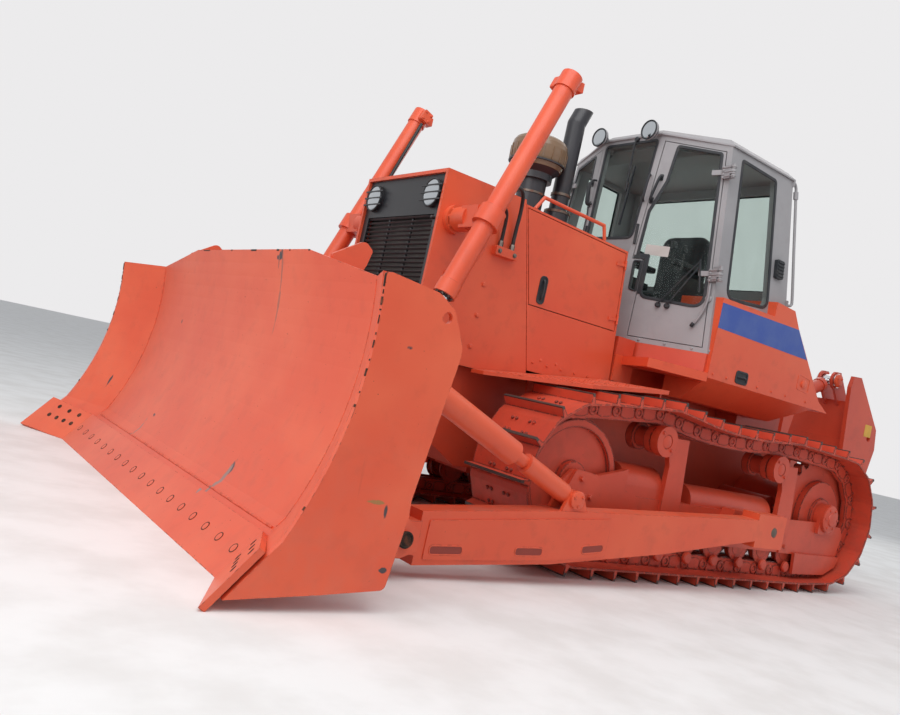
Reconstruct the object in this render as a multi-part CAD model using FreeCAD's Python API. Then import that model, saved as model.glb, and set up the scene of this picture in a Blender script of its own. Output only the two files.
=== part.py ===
import FreeCAD, Part
import math
import os

# Crawler bulldozer of about 30 tonnes, in millimetres.
# +X is forward, +Y is the machine's left, +Z is up, the ground is z = 0.
# The origin is the middle of the bounding box, at ground level.

# Middle of the bounding box, in the lengths used below
origin_x = 69.2

# Crawler tracks
gauge = 2080
shoe_width = 560
shoe_count = 41
pitch = 216
grouser = 64
shoe_plate = 13
link_above_pin = 45
link_below_pin = 62
rail_width = 42
rail_offset = 82

ground_pin_z = grouser + shoe_plate + link_above_pin
idler_x = 1095
idler_rim = 390
idler_pin_radius = math.hypot(idler_rim + link_below_pin, pitch / 2)
idler_z = ground_pin_z + idler_pin_radius
sprocket_x = -1866
sprocket_z = 604
sprocket_teeth = 27
sprocket_pin_radius = pitch / (2 * math.sin(2 * math.pi / sprocket_teeth))
rim_half = 36
roller_radius = 105
roller_count = 7
roller_first_x = 463
roller_spacing = 317
roller_waist = 36
idler_hub = 120
carrier_radius = 97
carrier_x = (356, -1045)
carrier_z = (952, 926)
carrier_shaft = 50
carrier_play = 15
sag = 57
drum_inner = 130

# Track frames
frame_inner_y = gauge / 2 - 140
frame_outer_y = gauge / 2 + 140
frame_low_z = 275
frame_deck_z = 420
frame_top_z = 545
clamp_y = gauge / 2 + 126
clamp_depth = 64
cover_front_z = 750
cover_rear_z = 678

# Main body
hull_half = 430
hull_front_x = 2080
hull_rear_x = -2200
hull_low_z = 480
hull_top_z = 1150
guard_half = 510
guard_front_x = 2109
guard_top_z = 2354
guard_low_z = 1150
seam_top_x = 1439
seam_low_x = 1118
hood_top_front_z = 2325
hood_top_rear_z = 2283
hood_low_z = 1225
hood_rear_top_x = 375
hood_rear_low_x = 282
door_low_z = 1670
door_axis = ((341, 521, 1674), (389, 521, 2263))
hood_lug = ((-9, 3), (3, 3), (3, -11.5), (-12, -11.5))
hood_strap = ((0, -3), (90, -3), (90, -12), (18, -12), (18, -7.5), (0, -7.5))
plate = 12

# Exhaust and air cleaner
exhaust_x = 712
exhaust_radius = 72
exhaust_top_z = 3370
cleaner_x = 1015
bowl_radius = 215
bowl_low_z = 2750
bowl_top_z = 3000

# Cab, wider at the rear door pillar than at the windscreen
cab_low_z = 1650
cab_top_z = 3250
cab_front_z = 3330
cab_low = ((150, 240), (-150, 1000), (-1150, 1000))
cab_high_front_x = 72
cab_high_side = ((-140, 850), (-965, 850))
cab_middle_x = -500
cab_door_axis = ((-133, 1040, 1700), (-123, 895, 3250))
cab_lug = ((1, -11.5), (11.5, 0), (68, -30), (68, -44), (46, -44))
cab_strap = ((0, -4), (90, -17), (170, -17), (170, -34), (92, -34), (88, -25), (0, -12))
cab_wall = 50
roof_rim = 12
roof_crown = 45
roof_lamp_y = 275
roof_lamp_radius = 80

# Windows and the door's leaf: distance from the middle or the door pillar, height, corner radius
windscreen_outline = ((280, 3290, 30), (-280, 3290, 30), (-256, 2473, 60), (256, 2473, 60))
rear_window_outline = ((760, 3140, 40), (-760, 3140, 40), (-800, 2330, 40), (800, 2330, 40))
side_window_outline = ((131, 3187, 20), (586, 3174, 30), (677, 2150, 90), (148, 2105, 90))
door_leaf_outline = ((48, 1694, 0), (186, 3205, 0), (684, 3277, 0), (728, 2500, 0),
                     (735, 2310, 0), (638, 2310, 0), (638, 1694, 0))
door_window_outline = ((215, 3190, 20), (569, 3240, 20), (598, 2952, 60), (690, 2701, 40),
                       (703, 2340, 0), (612, 2340, 0), (612, 2010, 60), (100, 1985, 95))
quarter_window_outline = ((660, 2050, 0), (660, 2290, 0), (722, 2290, 20), (712, 2060, 20))
door_gap = 6
door_depth = 34

# Tanks, footsteps and fenders
box_side_y = 1030
box_inner_y = 640
box_top_z = 2085
box_front_x = -172
tank_rear_z = 2210
step_z = 1445
step_depth = 67
fender_half = 1150
fender_rear_x = 354
fender_rear_z = 1271
fender_front_x = 1592
fender_front_z = 1122
bracket_low_z = 1060
tank_rise_x = -838

# Blade
blade_half = 2018
fold_y = 1615
blade_x = 3425
blade_top_x = 3095
blade_height = 1545
blade_curve = 50
blade_fold_z = 1421
blade_end_z = 1400
wing_angle = 27.5
blade_sheet = 26
top_half = 877
edge_reach = 90
edge_rise = 213
edge_lean = 80
edge_plate = 30
bit_half = blade_half + 26
bit_rise = 15
bit_flare = 1.1
fin_y = 1100
lashing_hole = (2935, 1283)
lashing_radius = 25

# Push arms
trunnion_x = -660
trunnion_z = 475
arm_y = gauge / 2 + 400
arm_width = 140
arm_height = 280
blade_pin_x = 2560
blade_pin_z = 215
ball_radius = 78
brace_low = (1385, 515)
brace_high = (2600, 1000)

# Lift cylinders
lift_y = 870
lift_pivot = (1980, 2050)
lift_eye = (2530, 600)
lift_barrel = 64
lift_bore = 51
lift_rod = 35
lift_pin = 45
lift_hub_y = 700
lift_boss = 94
lift_below = 538
lift_above = 1090
pin_play = 0.05
slide_play = 0.3

# Ripper
tow_hole = (-3440, 1400)
tow_radius = 34
ripper_pivot = (-2330, 640)
ripper_anchor = (-2330, 1560)
ripper_eye = (-2985, 1890)
ripper_half = 600
ripper_cylinder_y = 330
shank_x = -3430


def vec(x, y, z):
    return FreeCAD.Vector(x, y, z)


def box(x0, x1, y0, y1, z0, z1):
    return Part.makeBox(x1 - x0, y1 - y0, z1 - z0, vec(x0, y0, z0))


def face_of(points):
    return Part.Face(Part.makePolygon(points + [points[0]]))


def solid_of(faces):
    solid = Part.makeSolid(Part.makeShell(faces))
    if solid.Volume < 0:
        solid.reverse()
    return solid


def prism_y(outline, y0, y1):
    face = face_of([vec(x, y0, z) for x, z in outline])
    return face.extrude(vec(0, y1 - y0, 0))


def prism_z(outline, z0, z1):
    face = face_of([vec(x, y, z0) for x, y in outline])
    return face.extrude(vec(0, 0, z1 - z0))


def prism_x(outline, x0, x1):
    face = face_of([vec(x0, y, z) for y, z in outline])
    return face.extrude(vec(x1 - x0, 0, 0))


def rod(start, end, radius):
    a = vec(*start)
    axis = vec(*end).sub(a)
    return Part.makeCylinder(radius, axis.Length, a, axis)


def pin_y(x, z, y0, y1, radius):
    return rod((x, y0, z), (x, y1, z), radius)


def fuse(shapes):
    result = shapes[0]
    if len(shapes) > 1:
        result = shapes[0].multiFuse(shapes[1:])
    return result.removeSplitter()


def mirror(shape):
    return shape.mirror(vec(0, 0, 0), vec(0, 1, 0))


def both(shape):
    return pairs([shape])


def pairs(shapes):
    """Like pieces of both sides, which share one body."""
    return Part.makeCompound(shapes + [mirror(s) for s in shapes])


def hinge(center, along, out, radius, lug, strap):
    """A hinge's fixed part, with pin and two lugs, and the barrel that turns on it.

    Outlines of lug and strap are offsets from the axis, as (towards the leaf, outwards).
    """
    run = out.cross(along)
    run.normalize()
    out = along.cross(run)
    length = radius * 3

    def plate_at(start, size, outline):
        points = [center + along * start + run * a + out * b for a, b in outline]
        return face_of(points).extrude(along * size)

    def barrel(start, size, r):
        return Part.makeCylinder(r, size, center + along * start, along)

    pin = barrel(-1.4 * length, 2.8 * length, radius * 0.55)
    fixed = [pin]
    for start in (-1.4 * length, 0.55 * length):
        fixed.append(barrel(start, 0.85 * length, radius))
        fixed.append(plate_at(start, 0.85 * length, lug))
    moving = barrel(-length / 2, length, radius).fuse(plate_at(-length / 2, length, strap))
    return fixed, moving.cut(barrel(-length, 2 * length, radius * 0.55 + pin_play))


def sides(name, shape):
    """The left piece and its mirror image on the right."""
    return {"left_" + name: shape, "right_" + name: mirror(shape)}


def inset(points, distance):
    """A convex plane polygon with every edge moved inwards."""
    count = len(points)
    normal = points[1].sub(points[0]).cross(points[2].sub(points[1]))
    normal.normalize()
    result = []
    for i in range(count):
        before = points[i].sub(points[i - 1])
        after = points[(i + 1) % count].sub(points[i])
        before.normalize()
        after.normalize()
        in_before = normal.cross(before)
        in_after = normal.cross(after)
        half = in_before.add(in_after)
        scale = distance / (1 + in_before.dot(in_after))
        result.append(points[i].add(half.multiply(scale)))
    return result


def slab(points, depth, start=0.0):
    """A plane polygon made a plate, depth measured along its normal."""
    normal = points[1].sub(points[0]).cross(points[2].sub(points[1]))
    normal.normalize()
    moved = [p.add(normal * start) for p in points]
    return face_of(moved).extrude(normal * depth)


def rounded(points, radii):
    """Wire round a plane polygon, a corner with a radius above nought made an arc."""
    count = len(points)
    runs = []
    for i in range(count):
        corner = points[i]
        back = points[i - 1].sub(corner)
        ahead = points[(i + 1) % count].sub(corner)
        back.normalize()
        ahead.normalize()
        radius = radii[i]
        if radius == 0:
            runs.append((corner, corner, None))
            continue
        half = back.getAngle(ahead) / 2
        trim = radius / math.tan(half)
        bisector = back.add(ahead)
        bisector.normalize()
        middle = corner.add(bisector * (radius / math.sin(half) - radius))
        runs.append((corner.add(back * trim), corner.add(ahead * trim), middle))
    edges = []
    for i in range(count):
        start, end, middle = runs[i]
        if middle is not None:
            edges.append(Part.Arc(start, middle, end).toShape())
        following = runs[(i + 1) % count][0]
        edges.append(Part.makeLine(end, following))
    return Part.Wire(edges)


def rounded_prism_y(table, y0, y1):
    """Plate whose outline has a radius for each corner, given as (x, z, radius)."""
    points = [vec(x, y0, z) for x, z, r in table]
    face = Part.Face(rounded(points, [r for x, z, r in table]))
    return face.extrude(vec(0, y1 - y0, 0))


# Track path

def tangent_angle(cx, cz, radius, px, pz, side):
    """Angle on a circle where a line from a point touches it."""
    distance = math.hypot(px - cx, pz - cz)
    base = math.atan2(pz - cz, px - cx)
    return base + side * math.acos(radius / distance)


def pin_path():
    """Pin centre line of the track as a closed run of points."""
    rail_r = carrier_radius + link_below_pin + carrier_play
    tops = [(x, z + rail_r) for x, z in zip(carrier_x, carrier_z)]
    last_x = roller_first_x - roller_spacing * (roller_count - 1) - 60
    a0 = tangent_angle(idler_x, idler_z, idler_pin_radius, tops[0][0], tops[0][1], -1)
    a1 = tangent_angle(sprocket_x, sprocket_z, sprocket_pin_radius, tops[1][0], tops[1][1], 1)
    low = tangent_angle(sprocket_x, sprocket_z, sprocket_pin_radius, last_x, ground_pin_z, -1)
    low += 2 * math.pi
    points = [(last_x, ground_pin_z)]
    steps = 60
    for i in range(steps + 1):
        angle = low + (a1 - low) * i / steps
        x = sprocket_x + sprocket_pin_radius * math.cos(angle)
        points.append((x, sprocket_z + sprocket_pin_radius * math.sin(angle)))
    for i in range(21):
        t = i / 20
        x = tops[1][0] + (tops[0][0] - tops[1][0]) * t
        z = tops[1][1] + (tops[0][1] - tops[1][1]) * t - sag * 4 * t * (1 - t)
        points.append((x, z))
    for i in range(steps + 1):
        angle = a0 + (-math.pi / 2 - a0) * i / steps
        x = idler_x + idler_pin_radius * math.cos(angle)
        points.append((x, idler_z + idler_pin_radius * math.sin(angle)))
    return points


def walk(points, count):
    """Evenly spaced points along a closed run."""
    loop = points + [points[0]]
    lengths = [math.dist(loop[i], loop[i + 1]) for i in range(len(points))]
    total = sum(lengths)
    print("track pitch", round(total / count, 2))
    result = []
    index = 0
    done = 0.0
    for i in range(count):
        target = total * i / count
        while done + lengths[index] < target:
            done += lengths[index]
            index += 1
        t = (target - done) / lengths[index]
        (x0, z0), (x1, z1) = loop[index], loop[index + 1]
        result.append((x0 + (x1 - x0) * t, z0 + (z1 - z0) * t))
    return result


def offset_loop(pins, table):
    """Outline points given for each link as (along, outwards)."""
    result = []
    count = len(pins)
    for i in range(count):
        (x0, z0), (x1, z1) = pins[i], pins[(i + 1) % count]
        length = math.hypot(x1 - x0, z1 - z0)
        tx, tz = (x1 - x0) / length, (z1 - z0) / length
        mx, mz = (x0 + x1) / 2, (z0 + z1) / 2
        for along, out in table:
            result.append((mx + tx * along - tz * out, mz + tz * along + tx * out))
    return result


def tracks():
    pins = walk(pin_path(), shoe_count)
    inner = link_above_pin
    face = inner + shoe_plate
    tip = face + grouser
    # columns: along the track, outwards from the pin line
    shoe = [(-98, face), (52, face), (60, tip), (76, tip), (84, face), (102, face)]
    inside = [(-98, inner), (98, inner)]
    middle = gauge / 2
    outer = prism_y(offset_loop(pins, shoe), middle - shoe_width / 2, middle + shoe_width / 2)
    hole = prism_y(offset_loop(pins, inside), middle - shoe_width / 2 - 1, middle + shoe_width / 2 + 1)
    shoes = outer.cut(hole)
    rails = []
    low = -link_below_pin
    for side in (-1, 1):
        y = middle + side * rail_offset
        y0, y1 = y - rail_width / 2, y + rail_width / 2
        ring = prism_y(offset_loop(pins, inside), y0, y1)
        gap = prism_y(offset_loop(pins, [(-86, low), (86, low)]), y0 - 1, y1 + 1)
        rails.append(ring.cut(gap))
    chain = Part.makeCompound(rails)
    nodes = sides("track_shoes", shoes)
    nodes.update(sides("track_chain", chain))
    return nodes


def wheels():
    """Idler, sprocket, bottom rollers and carrier rollers of one side."""
    middle = gauge / 2
    tread_half = rail_offset + rail_width / 2
    idler = pin_y(idler_x, idler_z, middle - tread_half, middle + tread_half, idler_rim)
    guide_half = rail_offset - rail_width / 2 - 6
    guide = pin_y(idler_x, idler_z, middle - guide_half, middle + guide_half, idler_rim + 22)
    idler = idler.fuse(guide)
    for side in (-1, 1):
        y = middle + side * tread_half
        dish = pin_y(idler_x, idler_z, y - 30, y + 30, idler_rim - 48)
        idler = idler.cut(dish)
    hub_half = (frame_outer_y - frame_inner_y) / 2 - 27
    hub = pin_y(idler_x, idler_z, middle - hub_half, middle + hub_half, idler_hub)
    idler = fuse([idler, hub])

    outline = []
    for i in range(sprocket_teeth):
        # columns: part of a tooth, radius from the centre
        for part, radius in ((-0.32, -34), (-0.14, 18), (0.14, 18), (0.32, -34)):
            angle = (i + part) * 2 * math.pi / sprocket_teeth
            r = sprocket_pin_radius + radius
            outline.append((sprocket_x + r * math.cos(angle), sprocket_z + r * math.sin(angle)))
    sprocket = prism_y(outline, middle - rim_half, middle + rim_half)
    drum = pin_y(sprocket_x, sprocket_z, middle - drum_inner, middle + 90, 290)
    cap = pin_y(sprocket_x, sprocket_z, middle + 90, middle + 112, 150)
    sprocket = fuse([sprocket, drum, cap])

    rollers = []
    z = ground_pin_z + link_below_pin + roller_radius
    for i in range(roller_count):
        x = roller_first_x - roller_spacing * i
        treads = [pin_y(x, z, frame_inner_y + 25, frame_outer_y - 25, roller_waist)]
        for side in (-1, 1):
            ends = sorted((middle + side * (rim_half + 6), middle + side * (gauge / 2 - frame_inner_y - 25)))
            treads.append(pin_y(x, z, *ends, roller_radius - 30))
            y = middle + side * rail_offset
            treads.append(pin_y(x, z, y - 24, y + 24, roller_radius))
            flange = sorted((y + side * 24, y + side * 31))
            treads.append(pin_y(x, z, *flange, roller_radius + 17))
        rollers.append(fuse(treads))

    carriers = []
    for x, z in zip(carrier_x, carrier_z):
        pieces = [pin_y(x, z, middle - 112, middle + 112, carrier_radius - 26)]
        for side in (-1, 1):
            y = middle + side * rail_offset
            pieces.append(pin_y(x, z, y - 30, y + 30, carrier_radius))
        pieces.append(pin_y(x, z, middle + 112, clamp_y + clamp_depth - 6, carrier_shaft))
        carriers.append(fuse(pieces))
    nodes = {"idlers": both(idler), "sprockets": both(sprocket)}
    nodes["track_rollers"] = pairs(rollers + carriers)
    return nodes


def spring_cover(x0, x1, half, top):
    """Arched cover over the recoil spring, standing on the frame."""
    middle = gauge / 2
    centre_z = top - half
    arch = rod((x0, middle, centre_z), (x1, middle, centre_z), half)
    return arch.fuse(box(x0, x1, middle - half, middle + half, frame_deck_z, centre_z))


def carrier_post(x, z):
    """Post outside the track frame, its clamp round the carrier roller's shaft."""
    post = [(x - 309, frame_deck_z), (x - 99, frame_deck_z), (x - 99, z - 160)]
    post += [(x - 70, z - 80), (x - 60, z + 60), (x - 128, z + 36), (x - 258, z + 40)]
    plate_post = prism_y(post, clamp_y, clamp_y + 40)
    clamp = pin_y(x, z, clamp_y, clamp_y + clamp_depth, carrier_shaft + 56)
    hole = pin_y(x, z, clamp_y - 5, clamp_y + clamp_depth + 5, carrier_shaft + pin_play)
    return plate_post.fuse(clamp).cut(hole)


def track_frame():
    y0, y1 = frame_inner_y, frame_outer_y
    front = idler_x - 535
    rear = sprocket_x + 536
    shapes = [box(rear, front, y0, y1, frame_deck_z, frame_top_z)]
    for a, b in ((y0, y0 + 25), (y1 - 25, y1)):
        shapes.append(box(rear, front, a, b, frame_low_z, frame_deck_z))
    # arms round the idler, with the bearing bracket on the outer one
    for a, b in ((y0, y0 + 24), (y1 - 12, y1 + 14)):
        outline = [(front - 80, frame_low_z + 45), (front - 80, frame_top_z), (idler_x - 60, 660)]
        outline += [(idler_x + 60, 660), (idler_x + 150, 560), (idler_x + 150, 440)]
        outline += [(idler_x, 400), (front, frame_low_z + 45)]
        shapes.append(prism_y(outline, a, b))
    bracket = [(idler_x + 145, 440, 0), (idler_x + 42, idler_z + 82, 30)]
    bracket += [(idler_x - 155, idler_z + 64, 20), (idler_x - 245, 440, 0)]
    shapes.append(rounded_prism_y(bracket, y1 + 14, y1 + 38))
    # plate that carries the sprocket's outer bearing
    outline = [(rear + 40, frame_low_z), (rear + 40, frame_top_z), (sprocket_x + 40, 560)]
    outline += [(sprocket_x - 274, 540), (sprocket_x - 324, 470), (sprocket_x - 274, 290)]
    outline.append((sprocket_x - 34, frame_low_z))
    shapes.append(prism_y(outline, y1 - 12, y1 + 14))
    cap = pin_y(sprocket_x, sprocket_z, y1 - 26, y1 + 60, 118)
    seat = box(sprocket_x - 118, sprocket_x + 118, y1 + 14, y1 + 44, 470, sprocket_z)
    shapes += [cap, seat]
    inner = [(rear + 40, frame_low_z), (rear + 40, frame_top_z), (rear - 190, frame_top_z)]
    inner += [(rear - 250, frame_deck_z), (rear - 170, frame_low_z)]
    shapes.append(prism_y(inner, y0, y0 + 24))
    # cheek plate beside the idler, and covers over the recoil spring
    cheek = [(idler_x - 455, frame_deck_z), (idler_x - 455, 720), (idler_x - 390, 700)]
    cheek += [(idler_x - 170, 640), (idler_x - 245, 440)]
    shapes.append(prism_y(cheek, y1 - 28, y1 + 14))
    shapes.append(spring_cover(idler_x - 845, idler_x - 455, 134, cover_front_z))
    shapes.append(spring_cover(rear + 210, idler_x - 1205, 122, cover_rear_z))
    for x, z in zip(carrier_x, carrier_z):
        shapes.append(carrier_post(x, z))
    # guard ahead of the sprocket, low on the outside
    outline = [(rear - 170, 120), (sprocket_x - 94, 132), (sprocket_x - 254, 205)]
    outline += [(sprocket_x - 294, 290), (rear - 150, 290)]
    shapes.append(prism_y(outline, y1 + 14, y1 + 40))
    # seat of the push arm's ball
    block = [(trunnion_x + 270, 330), (trunnion_x + 190, 570)]
    block += [(trunnion_x - 110, 570), (trunnion_x - 110, 335)]
    shapes.append(prism_y(block, y1, y1 + 110))
    frame = fuse(shapes)
    ball = Part.makeSphere(ball_radius, vec(trunnion_x, arm_y, trunnion_z))
    stem = pin_y(trunnion_x, trunnion_z, y1 + 110, arm_y - 20, 52)
    trunnion = fuse([ball, stem])
    return {"track_frames": both(frame), "trunnion_balls": both(trunnion)}


def main_frame():
    outline = [(hull_front_x, 800), (hull_front_x, guard_low_z), (hull_rear_x, guard_low_z)]
    outline += [(hull_rear_x, 700), (hull_rear_x + 150, 520), (hull_rear_x + 450, hull_low_z)]
    outline += [(hull_front_x - 580, hull_low_z)]
    hull = prism_y(outline, -hull_half, hull_half)
    cases = [hull]
    for side in (-1, 1):
        a, b = sorted((side * hull_half, side * (gauge / 2 - drum_inner)))
        cases.append(pin_y(sprocket_x, sprocket_z, a, b, 235))
        cases.append(pin_y(sprocket_x + 366, 600, *sorted((side * hull_half, side * frame_inner_y)), 80))
    beam = box(880, 1040, -frame_inner_y, frame_inner_y, hull_low_z - 70, hull_low_z)
    cases.append(beam)
    cases.append(box(700, 1200, -200, 200, hull_low_z - 60, hull_low_z))
    return {"main_frame": fuse(cases)}


def engine_and_guard():
    engine = box(400, 1390, -360, 360, guard_low_z, 2080)
    outline = [(guard_front_x, guard_low_z), (guard_front_x, guard_top_z), (seam_top_x, guard_top_z)]
    outline += [(seam_top_x - 8, hood_top_front_z), (seam_low_x, hood_low_z), (seam_low_x - 20, guard_low_z)]
    outer = prism_y(outline, -guard_half, guard_half)
    inner = [(guard_front_x - 45, guard_low_z - 1), (guard_front_x - 45, guard_top_z - 22)]
    inner += [(seam_top_x - 100, guard_top_z - 22), (seam_top_x - 100, 2200)]
    inner.append((seam_low_x - 100, guard_low_z - 1))
    guard = outer.cut(prism_y(inner, -guard_half + 22, guard_half - 22))
    half = guard_half - 24
    window = box(guard_front_x - 60, guard_front_x + 1, -half, half, guard_low_z + 20, guard_top_z - 24)
    guard = guard.cut(window)
    shapes = [guard]
    for side in (-1, 1):
        boss = pin_y(*lift_pivot, *sorted((side * guard_half, side * (guard_half + 40))), lift_boss)
        shapes.append(boss)
    guard = fuse(shapes)
    pins = []
    for side in (-1, 1):
        a, b = sorted((side * (guard_half + 40), side * lift_hub_y))
        pins.append(pin_y(*lift_pivot, a, b, lift_pin))
    core = box(1400, guard_front_x - 90, -guard_half + 22, guard_half - 22, guard_low_z, 2280)
    nodes = {"engine_block": Part.makeCompound([engine, core])}
    nodes["radiator_guard"] = Part.makeCompound([guard] + pins)
    return nodes


def grille():
    x0, x1 = guard_front_x - 40, guard_front_x - 22
    half = guard_half - 24
    panel = box(x0, x1, -half, half, guard_low_z + 20, guard_top_z - 24)
    opening = box(x0 - 1, x1 + 1, -half + 60, half - 60, guard_low_z + 60, 2062)
    panel = panel.cut(opening)
    slats = []
    z = guard_low_z + 90
    while z < 2050:
        profile = [(x0 + 2, z), (x0 + 5, z - 3), (x1 - 1, z + 9), (x1 - 4, z + 12)]
        slats.append(prism_y(profile, -half + 60, half - 60))
        z += 31
    for y in (-150, 150):
        slats.append(box(x0 - 12, x0 + 2, y - 8, y + 8, guard_low_z + 60, 2062))
    lamps = []
    for y in (-370, 370):
        body = rod((x1, y, 2200), (x1 + 26, y, 2200), 96)
        bars = [body]
        for dz in (-48, 0, 48):
            bars.append(box(x1 + 26, x1 + 34, y - 118, y + 118, 2195 + dz, 2205 + dz))
        lamps.append(fuse(bars))
    return {"grille": Part.makeCompound([panel] + slats), "head_lamps": Part.makeCompound(lamps)}


def hood():
    top_f, top_r = hood_top_front_z, hood_top_rear_z
    outline = [(seam_top_x - 12, top_f), (hood_rear_top_x, top_r), (hood_rear_low_x, hood_low_z)]
    outline += [(seam_low_x - 6, hood_low_z)]
    outer = prism_y(outline, -guard_half, guard_half)
    inner = [(seam_top_x + 100, top_f - plate), (hood_rear_top_x + 20, top_r - plate)]
    inner += [(hood_rear_low_x + 20, hood_low_z - 1), (seam_low_x + 100, hood_low_z - 1)]
    shell = outer.cut(prism_y(inner, -guard_half + plate, guard_half - plate))
    opening = prism_y(door_outline(0), -guard_half - 1, guard_half + 1)
    core = box(0, 2000, -guard_half + 30, guard_half - 30, 1200, 2400)
    shell = shell.cut(opening.cut(core))
    door = prism_y(door_outline(6), guard_half - 20, guard_half)
    low, high = vec(*door_axis[0]), vec(*door_axis[1])
    along = high.sub(low).normalize()
    fixed = []
    leaf = [door]
    for t in (0.15, 0.85):
        center = low + high.sub(low) * t
        pinned, turning = hinge(center, along, vec(0, 1, 0), 8, hood_lug, hood_strap)
        fixed += pinned
        leaf.append(turning)
    shell = fuse([shell] + fixed + [mirror(piece) for piece in fixed])
    door = fuse(leaf)
    handle = box(1085, 1175, guard_half - 26, guard_half - 8, 1690, 1900)
    door = door.cut(handle)
    grip = box(1110, 1150, guard_half - 26, guard_half - 2, 1700, 1890)
    door = fuse([door, grip])
    rail = [(1330, 2325), (1265, 2425), (655, 2405), (620, 2300)]
    y = guard_half - 25
    run = [rod((rail[i][0], y, rail[i][1]), (rail[i + 1][0], y, rail[i + 1][1]), 13) for i in range(3)]
    run += [Part.makeSphere(13, vec(px, y, pz)) for px, pz in rail[1:3]]
    handrail = fuse(run).cut(shell)
    nodes = {"hood": shell, "hood_handrails": both(handrail)}
    nodes.update(sides("engine_door", door))
    return nodes


def door_outline(gap):
    """Side door of the engine bay, its edges drawn in by a gap."""
    top_f, top_r = hood_top_front_z - 16, hood_top_rear_z - 16
    lean = (seam_top_x - seam_low_x) / (hood_top_front_z - hood_low_z)
    low_x = seam_top_x - lean * (hood_top_front_z - door_low_z)
    rear_low_x = hood_rear_top_x - 60
    outline = [(seam_top_x - 26 - gap, top_f - gap), (hood_rear_top_x + 14 + gap, top_r - gap)]
    outline += [(rear_low_x + 26 + gap, door_low_z + gap), (low_x - 22 - gap, door_low_z + gap)]
    return outline


def stacks():
    """Exhaust pipe cut off aslant, and the air cleaner under its domed bowl."""
    hood_block = box(0, 2000, -guard_half, guard_half, hood_low_z, hood_top_rear_z)
    slope = [(hood_rear_top_x, hood_top_rear_z), (seam_top_x - 12, hood_top_front_z), (seam_top_x, 2200)]
    hood_block = hood_block.fuse(prism_y(slope + [(hood_rear_top_x, 2200)], -guard_half, guard_half))
    x = exhaust_x
    foot_z = hood_top_rear_z - 20
    bend_z = exhaust_top_z - 150
    base = rod((x, 0, foot_z), (x, 0, foot_z + 250), exhaust_radius + 26)
    pipe = rod((x, 0, foot_z + 250), (x, 0, bend_z), exhaust_radius)
    knee = Part.makeSphere(exhaust_radius, vec(x, 0, bend_z))
    tip = rod((x, 0, bend_z), (x - 80, 0, bend_z + 200), exhaust_radius)
    above = box(x - 400, x + 400, -200, 200, exhaust_top_z - 30, exhaust_top_z + 400)
    bore = rod((x, 0, bend_z), (x - 80, 0, bend_z + 200), exhaust_radius - 5)
    exhaust = fuse([base, pipe, knee, tip]).cut(above).cut(bore)
    px = cleaner_x
    stem = rod((px, 0, foot_z), (px, 0, bowl_low_z), 107)
    dish = Part.makeCone(140, 186, 40, vec(px, 0, bowl_low_z - 40))
    cleaner = fuse([stem, rod((px, 0, bowl_low_z - 90), (px, 0, bowl_low_z - 40), 140), dish])
    # columns: share of the bowl's radius, share of its height
    profile = ((0.88, 0), (0.94, 0.12), (0.98, 0.25), (1, 0.4), (1, 0.62), (0.97, 0.76),
               (0.9, 0.86), (0.76, 0.93), (0.5, 0.98), (0.2, 1))
    height = bowl_top_z - bowl_low_z
    outline = [vec(px, 0, bowl_low_z)]
    outline += [vec(px + bowl_radius * r, 0, bowl_low_z + height * h) for r, h in profile]
    outline.append(vec(px, 0, bowl_top_z))
    bowl = face_of(outline).revolve(vec(px, 0, 0), vec(0, 0, 1), 360)
    nodes = {"exhaust_stack": exhaust.cut(hood_block), "air_cleaner": cleaner.cut(hood_block)}
    nodes["air_cleaner_bowl"] = bowl
    return nodes


def fenders():
    """Sloping plates over the front of the tracks and footsteps below the cab doors."""
    y0 = guard_half + 5
    y1 = fender_half
    x0, x1 = fender_rear_x, fender_front_x
    z0, z1 = fender_rear_z, fender_front_z
    ramp = prism_y([(x0, z0), (x1, z1), (x1, z1 + 24), (x0, z0 + 28)], y0, y1)
    bend_x = x1 - (y1 - y0) + 135
    corner = prism_z([(bend_x, y1 + 1), (x1 + 1, y0 + 135), (x1 + 1, y1 + 1)], 0, 3000)
    left = [ramp.cut(corner)]
    left.append(box(x0, x0 + 16, y0, y1 - 60, z0 - 34, z0))
    left.append(box(x0 + 30, x0 + 190, y0, y0 + 60, bracket_low_z, z0 + 4).cut(above_ramp()))
    left.append(box(x0 + 30, x0 + 190, hull_half, y0, bracket_low_z, hood_low_z))
    left.append(box(x0 + 30, bend_x, y0, y0 + 12, z1 - 40, z0 + 4).cut(above_ramp()))
    # footstep, ahead of and below the door
    low = step_z
    step = [(203, y0), (348, 900), (box_front_x, box_side_y), (box_front_x, 800), (60, y0)]
    left.append(prism_z(step, low, low + step_depth))
    left.append(box(75, hood_rear_low_x, y0, y0 + 12, fender_rear_z + 40, low + step_depth))
    return {"fenders": both(fuse(left))}


def above_ramp():
    """Space above the fender plate."""
    x0, x1 = fender_rear_x - 50, fender_front_x + 50
    slope = (fender_front_z - fender_rear_z) / (fender_front_x - fender_rear_x)
    a, b = fender_rear_z + slope * -50 + 4, fender_front_z + slope * 50 + 4
    return prism_y([(x0, a), (x1, b), (x1, 3000), (x0, 3000)], 0, 2000)


def tank_outline():
    """Side of the tank beside the cab, as (x, z)."""
    low = step_z + 33
    outline = [(box_front_x, low), (box_front_x, box_top_z), (tank_rise_x, box_top_z + 8)]
    outline += [(tank_rise_x, tank_rear_z), (-1095, tank_rear_z - 14), (-1200, 2063), (-1405, 1850)]
    outline += [(-1690, 1550), (-1850, low - 8)]
    return outline


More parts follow.
